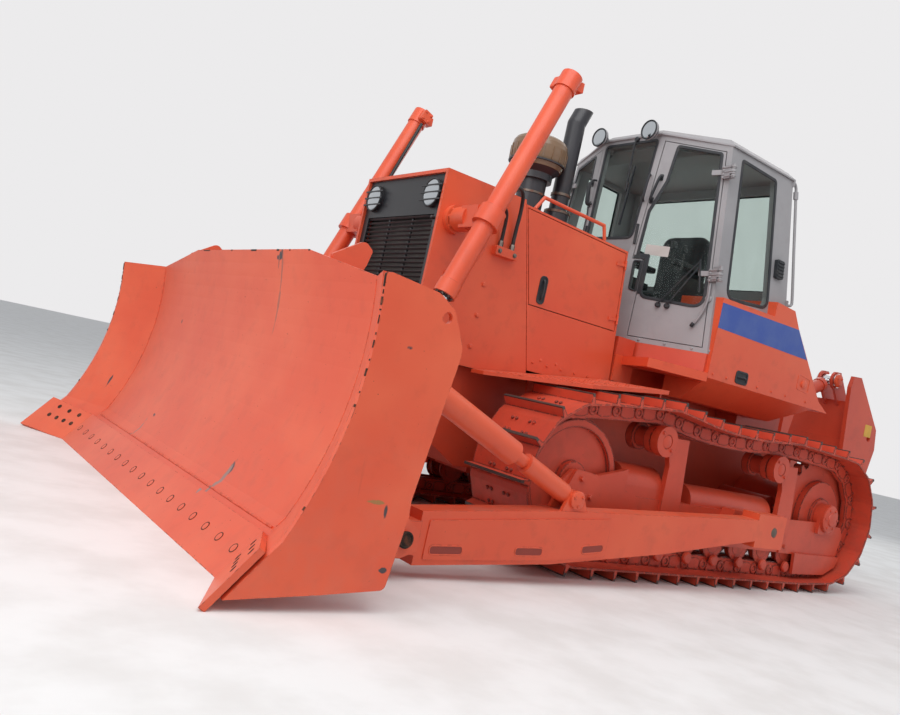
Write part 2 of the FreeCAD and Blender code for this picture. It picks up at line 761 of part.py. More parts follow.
def rear_body():
    """Tanks beside the cab, with undersides drawn in over the tracks, and the floor."""
    y0, y1 = box_inner_y, box_side_y
    low = step_z + 33
    tank = prism_y(tank_outline(), y0, y1)
    belly = prism_x([(y0, low), (y1, low), (y1 - 210, 1290), (y0, 1290)], -1640, box_front_x)
    rear_cut = prism_y([(-1641, low), (-1641, 1280), (-1330, 1280)], y0 - 1, y1 + 1)
    belly = belly.cut(rear_cut)
    tank = fuse([tank, belly])
    bridge = [(-1180, 1200), (-1180, 1690), (-1500, 1690), (-1803, 1445), (-1803, 1200)]
    centre = prism_y(bridge, -y0, y0)
    (fx, fy), (bx, by) = cab_low[0], cab_low[1]
    base_outline = [(fx, -fy), (bx, -by), (box_front_x, -by), (box_front_x, -y0), (-1180, -y0)]
    base_outline += [(x, -y) for x, y in reversed(base_outline)]
    base = prism_z(base_outline, step_z + step_depth, cab_low_z)
    apron = box(cab_low[0][0] - 60, hood_rear_low_x - 2, -guard_half, guard_half, 1250, cab_low_z)
    mounts = box(-1170, 100, -hull_half, hull_half, hull_top_z, step_z + step_depth)
    case = box(-2200, -1200, -380, 380, hull_top_z, 1195)
    nodes = {"side_tanks": both(tank)}
    nodes["cab_base"] = fuse([base, apron, mounts, centre, case])
    return nodes


def cab_corners():
    """Low and high corners of the cab, the high ones of the front found on the door's plane."""
    (fx, fy), (bx, by) = cab_low[0], cab_low[1]
    hx, hy = cab_high_side[0]
    rise = (cab_front_z - cab_low_z) / (cab_top_z - cab_low_z)
    across = (cab_high_front_x - bx - rise * (hx - bx)) / (fx - bx)
    front_y = by + across * (fy - by) + rise * (hy - by)
    low = [(x, y, cab_low_z) for x, y in cab_low]
    high = [(cab_high_front_x, front_y, cab_front_z)]
    high += [(x, y, cab_top_z) for x, y in cab_high_side]
    return low, high


def around(table):
    """Left corners followed by their mirror images, from the rear back to the front."""
    left = [vec(x, y, z) for x, y, z in table]
    right = [vec(x, -y, z) for x, y, z in reversed(table)]
    return left + right


def on_wall(wall, table):
    """Points of a wall given by its lower corner, its run and its upper corner."""
    corner, run, high = wall
    rise = high.sub(corner)
    rise = rise.sub(run * rise.dot(run))
    rise.normalize()
    return [corner.add(run * u).add(rise * ((z - corner.z) / rise.z)) for u, z, radius in table]


def pane(wall, table, depth=6, thickness=6):
    """Opening through a wall, and the glass in it at a depth below the wall's face."""
    points = on_wall(wall, table)
    wire = rounded(points, [radius for u, z, radius in table])
    normal = inward(points)
    opening = Part.Face(wire.translated(normal * -80)).extrude(normal * 160)
    glass = Part.Face(wire.translated(normal * depth)).extrude(normal * thickness)
    return opening, glass


def cab_roof(high):
    """Roof with a thin rim and a crowned top, and two round lamps at its front corners."""
    ends = (1, 0, -1)
    rim = [(x + s * 16, y + 14, z) for (x, y, z), s in zip(high, ends)]
    edge = [(x, y, z + roof_rim) for x, y, z in rim]
    top = [(x - s * 55, y - 48, z + roof_rim + roof_crown) for (x, y, z), s in zip(rim, ends)]
    layers = [around(rim), around(edge), around(top)]
    faces = []
    for table in (layers[0], layers[2]):
        faces.append(face_of([table[0], table[1], table[4], table[5]]))
        faces.append(face_of([table[1], table[2], table[3], table[4]]))
    count = len(layers[0])
    for lower, upper in zip(layers, layers[1:]):
        for i in range(count):
            j = (i + 1) % count
            faces.append(face_of([lower[i], lower[j], upper[j]]))
            faces.append(face_of([lower[i], upper[j], upper[i]]))
    pieces = [solid_of(faces)]
    x, y, z = high[0]
    ahead = vec(1, 0, 0)
    for side in (-1, 1):
        back = vec(x + 44, side * roof_lamp_y, z + 2)
        bowl = Part.makeCone(36, roof_lamp_radius - 3, 62, back, ahead)
        ring = Part.makeCylinder(roof_lamp_radius, 20, back.add(ahead * 62), ahead)
        pieces.append(bowl.fuse(ring))
        y0 = side * roof_lamp_y - 22
        pieces.append(box(x - 20, x + 60, y0, y0 + 44, z + 2, z + 14))
    return fuse(pieces)


def cab():
    low_table, high_table = cab_corners()
    low, high = around(low_table), around(high_table)
    count = len(low)
    panels = []
    for i in range(count):
        j = (i + 1) % count
        panels.append([low[i], low[j], high[j], high[i]])
    lids = [[high[0], high[1], high[4], high[5]], [high[1], high[2], high[3], high[4]]]
    outer = solid_of([face_of(low)] + [face_of(lid) for lid in lids] + [face_of(quad) for quad in panels])
    walls = [into(quad, quad, cab_wall) for quad in panels]
    walls.append(face_of(low).extrude(vec(0, 0, 40)))
    walls += [face_of(lid).extrude(vec(0, 0, -40)) for lid in lids]
    shell = walls[0].multiFuse(walls[1:]).common(outer)
    tank = prism_y(tank_outline(), box_inner_y, box_side_y)
    shell = shell.cut(tank).cut(mirror(tank))
    front = (low[0].add(low[5]) * 0.5, vec(0, 1, 0), high[0].add(high[5]) * 0.5)
    back = (low[2].add(low[3]) * 0.5, vec(0, 1, 0), high[2].add(high[3]) * 0.5)
    beside = (low[1], vec(-1, 0, 0), high[1])
    doorside = (low[1], low[0].sub(low[1]).normalize(), high[1])
    glass = []
    for wall, table in ((front, windscreen_outline), (back, rear_window_outline)):
        opening, sheet = pane(wall, table)
        shell = shell.cut(opening)
        glass.append(sheet)
    for wall, table in ((beside, side_window_outline), (doorside, quarter_window_outline)):
        opening, sheet = pane(wall, table)
        shell = shell.cut(opening).cut(mirror(opening))
        glass += [sheet, mirror(sheet)]
    leaf = on_wall(doorside, door_leaf_outline)
    doorway = slab(inset(leaf, -door_gap), 200, -100)
    shell = shell.cut(doorway).cut(mirror(doorway))
    door = into(leaf, panels[0], door_depth)
    opening, door_glass = pane(doorside, door_window_outline, 14)
    door = door.cut(opening)
    axis_low, axis_high = vec(*cab_door_axis[0]), vec(*cab_door_axis[1])
    along = axis_high.sub(axis_low).normalize()
    fixed = []
    leaf = [door]
    for t in (0.36, 0.87):
        center = axis_low + axis_high.sub(axis_low) * t
        pinned, turning = hinge(center, along, inward(panels[0]) * -1, 13, cab_lug, cab_strap)
        fixed += pinned
        leaf.append(turning)
    shell = fuse([shell] + fixed + [mirror(piece) for piece in fixed])
    door = fuse(leaf)
    floor_z = cab_low_z + 40
    cushion = box(-820, -330, -260, 260, 2050, 2170)
    rest = box(-900, -790, -260, 260, 2120, 2760)
    pedestal = box(-760, -400, -180, 180, floor_z, 2050)
    dash = box(-60, 50, -260, 260, floor_z, 2180)
    left_box = box(-800, -300, 300, 430, floor_z, 2300)
    nodes = {"cab_shell": shell, "cab_glass": Part.makeCompound(glass), "cab_roof": cab_roof(high_table).cut(outer)}
    nodes["operator_seat"] = fuse([cushion, rest, pedestal])
    nodes["operator_console"] = Part.makeCompound([dash, left_box, mirror(left_box)])
    nodes.update(sides("cab_door", door))
    nodes.update(sides("cab_door_glass", door_glass))
    return nodes


def inward(quad):
    normal = quad[1].sub(quad[0]).cross(quad[2].sub(quad[1]))
    normal.normalize()
    middle = quad[0].add(quad[2]) * 0.5
    target = vec(cab_middle_x, 0, middle.z)
    if normal.dot(target.sub(middle)) < 0:
        normal = normal * -1
    return normal


def into(points, quad, depth):
    return face_of(points).extrude(inward(quad) * depth)


def edge_line(z):
    """Front of the cutting edge's plate at a height."""
    return blade_x + edge_reach - z * (edge_reach + edge_lean) / edge_rise


def blade_profile():
    """Front of the blade's sheet from its foot to its top, as (x, z)."""
    dx = blade_top_x - blade_x
    chord = math.hypot(dx, blade_height)
    spread = math.radians(blade_curve)
    radius = chord / (2 * math.sin(spread / 2))
    start = math.atan2(blade_height, dx) + spread / 2
    length = math.hypot(edge_reach + edge_lean, edge_rise)
    behind = edge_plate * length / edge_rise
    points = [(edge_line(z) - behind, z) for z in (45, edge_rise - 8)]
    steps = 20
    for i in range(1, steps + 1):
        turn = spread * i / steps
        reach = 2 * radius * math.sin(turn / 2)
        x = blade_x + reach * math.cos(start - turn / 2)
        z = reach * math.sin(start - turn / 2)
        if z > edge_rise + 20:
            points.append((x, z))
    return points


def blade():
    front = blade_profile()
    sheet = blade_sheet
    back = [(x - sheet, z) for x, z in front]
    outline = front + list(reversed(back))
    middle = prism_y(outline, -fold_y, fold_y)
    top_cut = [(top_half, 2000), (top_half, blade_height), (fold_y, blade_fold_z)]
    top_cut += [(bit_half, blade_end_z), (bit_half, 2000)]
    slope = math.tan(math.radians(wing_angle))
    reach = blade_half - fold_y
    wing_face = face_of([vec(x, fold_y, z) for x, z in outline])
    wing = wing_face.extrude(vec(reach * slope, reach, 0))
    cutter = prism_x(top_cut, 2500, 4200)
    mouldboard = fuse([middle, wing, mirror(wing)])
    mouldboard = mouldboard.cut(cutter).cut(mirror(cutter))
    # end plates behind the wing tips
    shift = reach * slope
    edge = [(x + shift, z, 0) for x, z in front if z < blade_end_z - 20]
    rear = [(edge[-1][0] + 8, blade_end_z - 6, 0), (edge[-1][0] - 18, blade_end_z + 2, 0)]
    rear += [(2996, 1376, 60), (2905, 1325, 90), (2822, 1174, 120), (2822, 1127, 60), (2912, 490, 0)]
    rear += [(2906, 420, 0), (2950, 106, 30), (3250, 76, 0)]
    ends = rounded_prism_y(edge + rear, blade_half, bit_half)
    ends = ends.cut(pin_y(*lashing_hole, blade_half - 10, bit_half + 10, lashing_radius))
    # closed beams along the back, given as distances behind the foot of the sheet
    low = behind_blade([(40, 62), (325, 110), (425, 200), (425, 430), (195, 470)])
    low_beam = prism_y(low, -fold_y, fold_y)
    high = behind_blade([(340, 1130), (340, 1440), (505, 1380), (505, 1180)])
    high_beam = prism_y(high, -fold_y + 20, fold_y - 20)
    rib = behind_blade([(185, 300), (345, 900), (345, 1300), (480, 1250), (450, 430), (395, 200)])
    ribs = [prism_y(rib, y - 14, y + 14) for y in (-arm_y, -lift_y, -300, 300, lift_y, arm_y)]
    wing_rib = prism_y(rib, fold_y - 34, fold_y - 6)
    solid_back = fuse([low_beam, high_beam, wing_rib, mirror(wing_rib)] + ribs)
    front_space = prism_y(front + [(4300, blade_height), (4300, 0)], -2100, 2100)
    solid_back = solid_back.cut(front_space).cut(middle)
    root = blade_x - 365
    ears = []
    for side in (-1, 1):
        for dy in (-95, 95):
            y = side * arm_y + dy
            web = [(root, 130), (root, 430), (blade_pin_x, blade_pin_z + 105)]
            web += [(blade_pin_x - 95, blade_pin_z + 40), (blade_pin_x - 95, blade_pin_z - 60)]
            web += [(blade_pin_x, blade_pin_z - 100), (root, 120)]
            ear = prism_y(web, y - 14, y + 14)
            ears.append(ear.cut(pin_y(blade_pin_x, blade_pin_z, y - 20, y + 20, 42 + pin_play)))
        for dy in (-70, 70):
            y = side * lift_y + dy
            web = [(root + 60, 400), (root + 60, 820), (lift_eye[0] + 20, lift_eye[1] + 110)]
            web += [(lift_eye[0] - 90, lift_eye[1] + 60), (lift_eye[0] - 90, lift_eye[1] - 70)]
            web += [(lift_eye[0] + 20, lift_eye[1] - 110)]
            ear = prism_y(web, y - 14, y + 14)
            hole = pin_y(*lift_eye, y - 20, y + 20, 66)
            ears.append(ear.cut(hole))
        for dy in (-60, 60):
            y = side * arm_y + dy
            web = [(root + 30, 880), (root + 30, 1120), (brace_high[0], 1062)]
            web += [(brace_high[0] - 60, 1030), (brace_high[0] - 60, 960), (brace_high[0], 925)]
            ear = prism_y(web, y - 12, y + 12)
            ears.append(ear.cut(pin_y(*brace_high, y - 20, y + 20, 28 + pin_play)))
    brackets = [ear.cut(front_space).cut(middle).cut(solid_back) for ear in ears]
    # rounded plates that stand up behind the sloping ends of the top edge
    fin = behind_blade([(340, 1420), (331, 1511), (529, 1643), (583, 1602), (563, 1518), (520, 1420)])
    fin = [(x, z, r) for (x, z), r in zip(fin, (0, 0, 40, 20, 30, 0))]
    fin = rounded_prism_y(fin, fin_y - 12, fin_y + 12).cut(front_space).cut(middle).cut(solid_back)
    reach, rise = edge_reach + edge_lean, edge_rise
    length = math.hypot(reach, rise)
    section = [(edge_line(0), 0), (edge_line(rise), rise)]
    section.append((edge_line(rise) - edge_plate * rise / length, rise - edge_plate * reach / length))
    section.append((edge_line(0) - edge_plate * length / rise, 0))
    cutting = prism_y(section, -fold_y, fold_y).cut(mouldboard)
    end_bit = corner_bit(slope).cut(mouldboard).cut(ends)
    nodes = {"blade_mouldboard": fuse([mouldboard]), "blade_end_plates": both(ends)}
    nodes["blade_back"] = Part.makeCompound([solid_back] + brackets + [fin, mirror(fin)])
    nodes["cutting_edge"] = cutting
    nodes["end_bits"] = both(end_bit)
    return nodes


def behind_blade(table):
    return [(blade_x - back, z) for back, z in table]


def corner_bit(slope):
    """Plate of the blade's corner, turned forward with the wing and rising outwards."""
    foot = vec(edge_line(0), fold_y, 0)
    out = vec(slope * (bit_half - fold_y), bit_half - fold_y, bit_rise)
    up = vec(edge_line(edge_rise) - edge_line(0), 0, edge_rise)
    corners = [foot, foot.add(out), foot.add(out).add(up * bit_flare), foot.add(up)]
    normal = up.cross(out).normalize()
    if normal.x > 0:
        normal = normal * -1
    plate_bit = face_of(corners).extrude(normal * edge_plate)
    keep = box(foot.x - 600, foot.x + 600, fold_y, bit_half, 0, blade_fold_z)
    return plate_bit.common(keep)


def push_arm():
    start = (blade_pin_x - 110, blade_pin_z)
    end = (trunnion_x + 210, trunnion_z)
    half = arm_height / 2
    y0, y1 = arm_y - arm_width / 2, arm_y + arm_width / 2
    outline = [(start[0], start[1] - half), (start[0], start[1] + half), (1500, 300 + half)]
    outline += [(end[0], end[1] + 75)]
    outline += [(end[0], end[1] - 75), (500, 250), (1500, 130)]
    beam = prism_y(outline, y0, y1)
    nose = [(blade_pin_x - 115, blade_pin_z - 90), (blade_pin_x - 115, blade_pin_z + 90)]
    nose += [(blade_pin_x + 50, blade_pin_z + 70), (blade_pin_x + 50, blade_pin_z - 70)]
    head = prism_y(nose, arm_y - 78, arm_y + 78)
    boss = pin_y(blade_pin_x, blade_pin_z, arm_y - 78, arm_y + 78, 85)
    pin = pin_y(blade_pin_x, blade_pin_z, arm_y - 130, arm_y + 130, 42)
    cap_block = box(trunnion_x - 130, trunnion_x + 215, y0, y1, trunnion_z - 120, trunnion_z + 120)
    socket = Part.makeSphere(ball_radius + 0.4, vec(trunnion_x, arm_y, trunnion_z))
    mouth = pin_y(trunnion_x, trunnion_z, arm_y - 200, arm_y, 66)
    cap_block = cap_block.cut(socket).cut(mouth)
    ears = []
    for dy in (-52, 52):
        web = [(1500, 400), (1430, 560), (1340, 560), (1260, 430), (1260, 380)]
        ears.append(prism_y(web, arm_y + dy - 12, arm_y + dy + 12))
    arm = fuse([beam, head, boss, cap_block] + ears)
    dx, dz = brace_high[0] - brace_low[0], brace_high[1] - brace_low[1]
    length = math.hypot(dx, dz)
    ux, uz = dx / length, dz / length

    def at(distance):
        return (brace_low[0] + ux * distance, arm_y, brace_low[1] + uz * distance)

    parts = [rod(at(60), at(430), 58), rod(at(430), at(540), 36), rod(at(540), at(length - 90), 72)]
    parts.append(rod(at(0), at(70), 34))
    parts.append(rod(at(length - 95), at(length), 40))
    parts.append(pin_y(*brace_low, arm_y - 39, arm_y + 39, 52))
    parts.append(pin_y(*brace_low, arm_y - 78, arm_y + 78, 28))
    parts.append(pin_y(*brace_high, arm_y - 47, arm_y + 47, 56))
    parts.append(pin_y(*brace_high, arm_y - 88, arm_y + 88, 28))
    brace = fuse(parts)
    arm = arm.cut(brace)
    return {"push_arms": pairs([arm.cut(pin), pin]), "braces": both(brace)}


def lift_cylinder():
    px, pz = lift_pivot
    ex, ez = lift_eye
    length = math.hypot(ex - px, ez - pz)
    ux, uz = (ex - px) / length, (ez - pz) / length
    y = lift_y

    def at(distance):
        return (px + ux * distance, y, pz + uz * distance)

    barrel = rod(at(-lift_above), at(lift_below), lift_barrel)
    head = rod(at(-lift_above - 36), at(-lift_above + 84), lift_barrel + 9)
    port = box(px - ux * lift_above - 96, px - ux * lift_above, y - 40, y + 40,
               pz - uz * lift_above - 52, pz - uz * lift_above + 12)
    gland = rod(at(lift_below - 60), at(lift_below + 30), lift_barrel + 8)
    collar = rod(at(-58), at(58), lift_barrel + 22)
    hub = pin_y(px, pz, guard_half + 52, lift_hub_y, 80)
    arm = box(px - 62, px + 62, lift_hub_y - 50, y - 50, pz - 70, pz + 70)
    body = fuse([barrel, head, port, gland, collar, hub, arm])
    bore = rod(at(-lift_above + 40), at(lift_below), lift_bore)
    throat = rod(at(lift_below - 10), at(lift_below + 40), lift_rod + slide_play)
    hole = pin_y(px, pz, guard_half + 20, lift_hub_y + slide_play, lift_pin + pin_play)
    body = body.cut(bore).cut(throat).cut(hole)
    reach = length - 51
    piston = rod(at(length - reach), at(length - reach + 90), lift_bore - slide_play)
    shaft = rod(at(length - reach), at(length - 40), lift_rod)
    eye = pin_y(ex, ez, y - 38, y + 38, 62)
    pin = pin_y(ex, ez, y - 112, y + 112, 28)
    washers = [pin_y(ex, ez, y + 90, y + 102, 84), pin_y(ex, ez, y - 102, y - 90, 84)]
    piece = fuse([piston, shaft, eye, pin] + washers)
    nodes = sides("lift_cylinder", body)
    nodes.update(sides("lift_rod", piece))
    return nodes


def ripper():
    px, pz = ripper_pivot
    ax, az = ripper_anchor
    ex, ez = ripper_eye
    mount = []
    for y in (-ripper_half + 90, ripper_half - 90):
        web = [(-2250, 520), (-2250, 1120), (-2290, 1120), (px - 70, pz + 60)]
        web += [(px - 70, pz - 70), (-2300, 520)]
        for dy in (-52, 52):
            mount.append(prism_y(web, y + dy - 14, y + dy + 14))
        mount.append(box(-2252, hull_rear_x, y - 70, y + 70, 520, 1120))
    mount.append(box(-2252, hull_rear_x, -hull_half - 150, hull_half + 150, 560, 1120))
    for y in (-ripper_cylinder_y, ripper_cylinder_y):
        web = [(-2250, 1100), (-2220, 1640), (ax - 55, az + 60), (ax - 60, az - 60), (-2300, 1100)]
        for dy in (-66, 66):
            mount.append(prism_y(web, y + dy - 12, y + dy + 12))
    half = ripper_cylinder_y + 80
    mount.append(box(-2252, -2215, -half, half, 1090, 1640))
    mount = fuse(mount)
    pins = []
    for y in (-ripper_half + 90, ripper_half - 90):
        pins.append(pin_y(px, pz, y - 75, y + 75, 36))
    for y in (-ripper_cylinder_y, ripper_cylinder_y):
        pins.append(pin_y(ax, az, y - 84, y + 84, 30))
    mount = Part.makeCompound([mount.cut(Part.makeCompound(pins))] + pins)

    frame = []
    for y in (-ripper_half + 90, ripper_half - 90):
        web = [(px - 60, pz - 62), (px + 10, pz - 70), (px + 40, pz + 40), (px - 20, pz + 80)]
        web += [(-3060, 1200), (-3120, 1000)]
        arm = prism_y(web, y - 34, y + 34)
        arm = arm.cut(pin_y(px, pz, y - 40, y + 40, 36 + pin_play))
        frame.append(arm)
    for side in (-1, 1):
        y = side * (ripper_half - 20)
        web = [(-3030, 1020), (-2930, 1840), (-2960, 1950), (-3090, 1960), (-3560, 1500)]
        web += [(-3600, 1300), (-3520, 1010)]
        side_plate = prism_y(web, y - 20, y + 20)
        frame.append(side_plate.cut(pin_y(*tow_hole, y - 30, y + 30, tow_radius)))
        for dy in (-66, 66):
            y2 = side * ripper_cylinder_y + dy
            web = [(-3110, 1650), (ex + 60, ez - 30), (ex + 66, ez + 10), (ex + 40, ez + 80)]
            web += [(ex - 60, ez + 90), (-3280, 1700), (-3280, 1650)]
            ear = prism_y(web, y2 - 12, y2 + 12).fuse(pin_y(ex, ez, y2 - 12, y2 + 12, 86))
            frame.append(ear.cut(pin_y(ex, ez, y2 - 20, y2 + 20, 58)))
    frame.append(box(shank_x, -3060, -ripper_half + 20, ripper_half - 20, 1030, 1330))
    frame.append(box(-3280, -3110, -ripper_half + 20, ripper_half - 20, 1330, 1710))
    beam = fuse(frame)
    shanks = []
    for y in (-380, 0, 380):
        leg = [(shank_x, 1450), (shank_x, 560), (-3370, 400), (-3250, 250), (-3440, 330)]
        leg += [(-3520, 520), (-3520, 1450)]
        shanks.append(prism_y(leg, y - 35, y + 35))
    shank = Part.makeCompound([s.cut(beam) for s in shanks])

    dx, dz = ex - ax, ez - az
    length = math.hypot(dx, dz)
    ux, uz = dx / length, dz / length
    nodes = {"ripper_mount": mount, "ripper_frame": beam, "ripper_shanks": shank}
    y = ripper_cylinder_y

    def at(distance):
        return (ax + ux * distance, y, az + uz * distance)

    barrel = rod(at(96), at(590), 62)
    ring = pin_y(ax, az, y - 46, y + 46, 58)
    body = fuse([barrel, ring, rod(at(30), at(110), 42), rod(at(540), at(590), 70)])
    body = body.cut(rod(at(114), at(562), 48)).cut(rod(at(550), at(600), 30 + slide_play))
    body = body.cut(pin_y(ax, az, y - 50, y + 50, 30 + pin_play))
    parts = [rod(at(116), at(156), 48 - slide_play), rod(at(116), at(length - 30), 30)]
    parts += [pin_y(ex, ez, y - 46, y + 46, 52), pin_y(ex, ez, y - 98, y + 98, 25)]
    parts += [pin_y(ex, ez, y + 84, y + 94, 72), pin_y(ex, ez, y - 94, y - 84, 72)]
    piece = fuse(parts)
    nodes["ripper_cylinders"] = both(body)
    nodes["ripper_rods"] = both(piece)
    return nodes


def main():
    os.makedirs("parts", exist_ok=True)
    nodes = {}
    builders = (tracks, wheels, track_frame, main_frame, engine_and_guard, grille, hood, stacks, fenders)
    for build in builders + (rear_body, cab, blade, push_arm, lift_cylinder, ripper):
        nodes.update(build())
    for name in nodes:
        nodes[name] = nodes[name].translated(vec(-origin_x, 0, 0))
    low = [min(s.BoundBox.XMin for s in nodes.values()), min(s.BoundBox.ZMin for s in nodes.values())]
    high = [max(s.BoundBox.XMax for s in nodes.values()), max(s.BoundBox.ZMax for s in nodes.values())]
    print(len(nodes), "nodes, x", low[0], high[0], "z", low[1], high[1])
    for name, shape in nodes.items():
        solids = len(shape.Solids)
        if not shape.isValid() or solids == 0:
            print("not valid", name, solids)
        shape.exportStep("parts/%s.step" % name)


main()
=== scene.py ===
"""Looks of a crawler bulldozer: finishes, bolts, seals, hoses and trim around its CAD frame.

Lengths are millimetres in the frame of the construction drawing, +X forwards, +Y to the machine's
left, +Z up. Shape.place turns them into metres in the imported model's frame.
"""
import logging
import math
from dataclasses import dataclass, field
from enum import Enum

import bpy
import numpy as np
from mathutils import Matrix, Vector
from mathutils.bvhtree import BVHTree


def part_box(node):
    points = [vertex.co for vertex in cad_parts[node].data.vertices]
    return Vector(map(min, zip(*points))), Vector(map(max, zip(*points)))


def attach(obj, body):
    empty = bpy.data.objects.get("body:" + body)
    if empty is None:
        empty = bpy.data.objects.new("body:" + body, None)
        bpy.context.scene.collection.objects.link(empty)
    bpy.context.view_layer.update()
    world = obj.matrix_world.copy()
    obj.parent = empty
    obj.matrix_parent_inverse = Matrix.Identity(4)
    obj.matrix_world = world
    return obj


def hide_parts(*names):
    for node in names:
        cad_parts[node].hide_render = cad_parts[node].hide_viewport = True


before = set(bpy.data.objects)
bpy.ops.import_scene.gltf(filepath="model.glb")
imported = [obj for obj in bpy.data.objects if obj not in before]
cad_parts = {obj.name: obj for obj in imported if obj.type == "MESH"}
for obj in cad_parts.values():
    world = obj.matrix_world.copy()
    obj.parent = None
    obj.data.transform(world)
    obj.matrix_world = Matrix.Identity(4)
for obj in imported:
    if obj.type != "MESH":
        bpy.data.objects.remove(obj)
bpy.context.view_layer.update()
LOG = logging.getLogger("bulldozer")
SPROCKET_X = -1866.0
MM = 0.001


def origin_shift() -> float:
    """Returns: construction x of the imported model's origin, from the sprockets' middle."""
    low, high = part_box("sprockets")
    return SPROCKET_X - (low.x + high.x) / 2 / MM


ORIGIN_X = origin_shift()


class Side(Enum):
    """The machine's own sides, by the sign of y."""

    LEFT = 1
    RIGHT = -1

    @property
    def label(self) -> str:
        """Word used in names."""
        return self.name.lower()


def unit(vector: np.ndarray) -> np.ndarray:
    """Vectors divided by their own lengths along the last axis."""
    vector = np.asarray(vector, float)
    return vector / np.linalg.norm(vector, axis=-1, keepdims=True)


@dataclass
class Shape:
    """Points in millimetres and faces as lists of point numbers."""

    points: np.ndarray
    faces: list = field(default_factory=list)

    def moved(self, offset: tuple) -> "Shape":
        """Returns: the shape shifted by an offset in millimetres."""
        return Shape(self.points + np.asarray(offset, float), self.faces)

    def mirrored(self) -> "Shape":
        """Returns: the mirror image in y, its faces turned so that they still point outwards."""
        return Shape(self.points * [1, -1, 1], [tuple(reversed(face)) for face in self.faces])

    def on(self, side: Side) -> "Shape":
        """Returns: the shape drawn for the left, on the given side."""
        return self if side is Side.LEFT else self.mirrored()

    def place(self, name: str, finish: "bpy.types.Material", body: str, slot: str,
              smooth: bool = True, bevel: float = 0.0) -> bpy.types.Object:
        """Makes the object in metres, with its finish, on its body.

        Args:
            name: piece name. finish: its material. body: the CAD body that it rides on.
            slot: not used. smooth: shade curved faces smooth.
            bevel: width in millimetres of a bevel on its edges, or 0.
        Returns: the new object.
        """
        mesh = bpy.data.meshes.new(name)
        metres = (self.points - [ORIGIN_X, 0, 0]) * MM
        mesh.from_pydata(metres.tolist(), [], [tuple(int(i) for i in face) for face in self.faces])
        mesh.materials.append(finish)
        mesh.validate()
        obj = bpy.data.objects.new(name, mesh)
        bpy.context.scene.collection.objects.link(obj)
        if smooth:
            mesh.shade_smooth()
            mesh.set_sharp_from_angle(angle=math.radians(38))
        if bevel:
            edge = obj.modifiers.new("bevel", "BEVEL")
            edge.width = bevel * MM
            edge.segments = 2
            edge.limit_method = "ANGLE"
        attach(obj, body)
        LOG.info("%s on %s, %d faces", name, body, len(self.faces))
        return obj


def join(shapes: list) -> Shape:
    """Returns: several shapes as one."""
    points, faces, start = [], [], 0
    for shape in shapes:
        points.append(shape.points)
        faces += [tuple(i + start for i in face) for face in shape.faces]
        start += len(shape.points)
    return Shape(np.vstack(points), faces)


def both(shape: Shape) -> Shape:
    """Returns: a shape and its mirror image."""
    return join([shape, shape.mirrored()])


def grid_faces(rows: int, columns: int, wrap_rows: bool, wrap_columns: bool) -> list:
    """Quads between neighbouring points of a grid numbered row by row.

    Args: rows, columns: points each way. wrap_rows, wrap_columns: whether the last meets the first.
    Returns: the quads as tuples.
    """
    r = np.arange(rows if wrap_rows else rows - 1)[:, None]
    c = np.arange(columns if wrap_columns else columns - 1)[None, :]
    r2, c2 = (r + 1) % rows, (c + 1) % columns
    quads = np.stack([r * columns + c, r * columns + c2, r2 * columns + c2, r2 * columns + c], axis=-1)
    return [tuple(quad) for quad in quads.reshape(-1, 4).tolist()]


def circle(radius: float, count: int = 12, start: float = 0.0) -> np.ndarray:
    """Section points (radius cos a, radius sin a) for evenly spaced angles a."""
    angle = start + np.arange(count) * 2 * np.pi / count
    return np.stack([radius * np.cos(angle), radius * np.sin(angle)], axis=1)


def smooth_path(corners: list, count: int = 40) -> np.ndarray:
    """Catmull-Rom curve through corner points.

    Between two corners the point is the cubic of t through both, whose slope at each corner is half
    the chord between that corner's neighbours.
    Args: corners: (x, y, z) points. count: points of the result.
    Returns: count points.
    """
    p = np.asarray(corners, float)
    p = np.vstack([2 * p[0] - p[1], p, 2 * p[-1] - p[-2]])
    u = np.linspace(0, len(p) - 3 - 1e-9, count)
    i = u.astype(int)
    t = (u - i)[:, None]
    a, b, c, d = p[i], p[i + 1], p[i + 2], p[i + 3]
    return 0.5 * (2 * b + (c - a) * t + (2 * a - 5 * b + 4 * c - d) * t ** 2 + (3 * b - a - 3 * c + d) * t ** 3)


def sweep(path: np.ndarray, section: np.ndarray, up: tuple = (0, 0, 1), closed: bool = False) -> Shape:
    """A section carried along a path: path point + u across + v along the upright.

    The across direction is the path's tangent crossed with up, the upright is across crossed with tangent.
    Args: path: points. section: (u, v) points, anticlockwise. up: rough upright. closed: a closed loop.
    Returns: the tube, with flat ends where the path is open.
    """
    path = np.asarray(path, float)
    if closed:
        tangent = unit(np.roll(path, -1, axis=0) - np.roll(path, 1, axis=0))
    else:
        tangent = unit(np.gradient(path, axis=0))
    across = unit(np.cross(tangent, np.asarray(up, float)))
    upright = np.cross(across, tangent)
    rings = path[:, None, :] + across[:, None, :] * section[None, :, :1] + upright[:, None, :] * section[None, :, 1:]
    count, size = len(path), len(section)
    faces = grid_faces(count, size, closed, True)
    if not closed:
        faces += [tuple(range(size - 1, -1, -1)), tuple(range((count - 1) * size, count * size))]
    return Shape(rings.reshape(-1, 3), [tuple(reversed(face)) for face in faces])


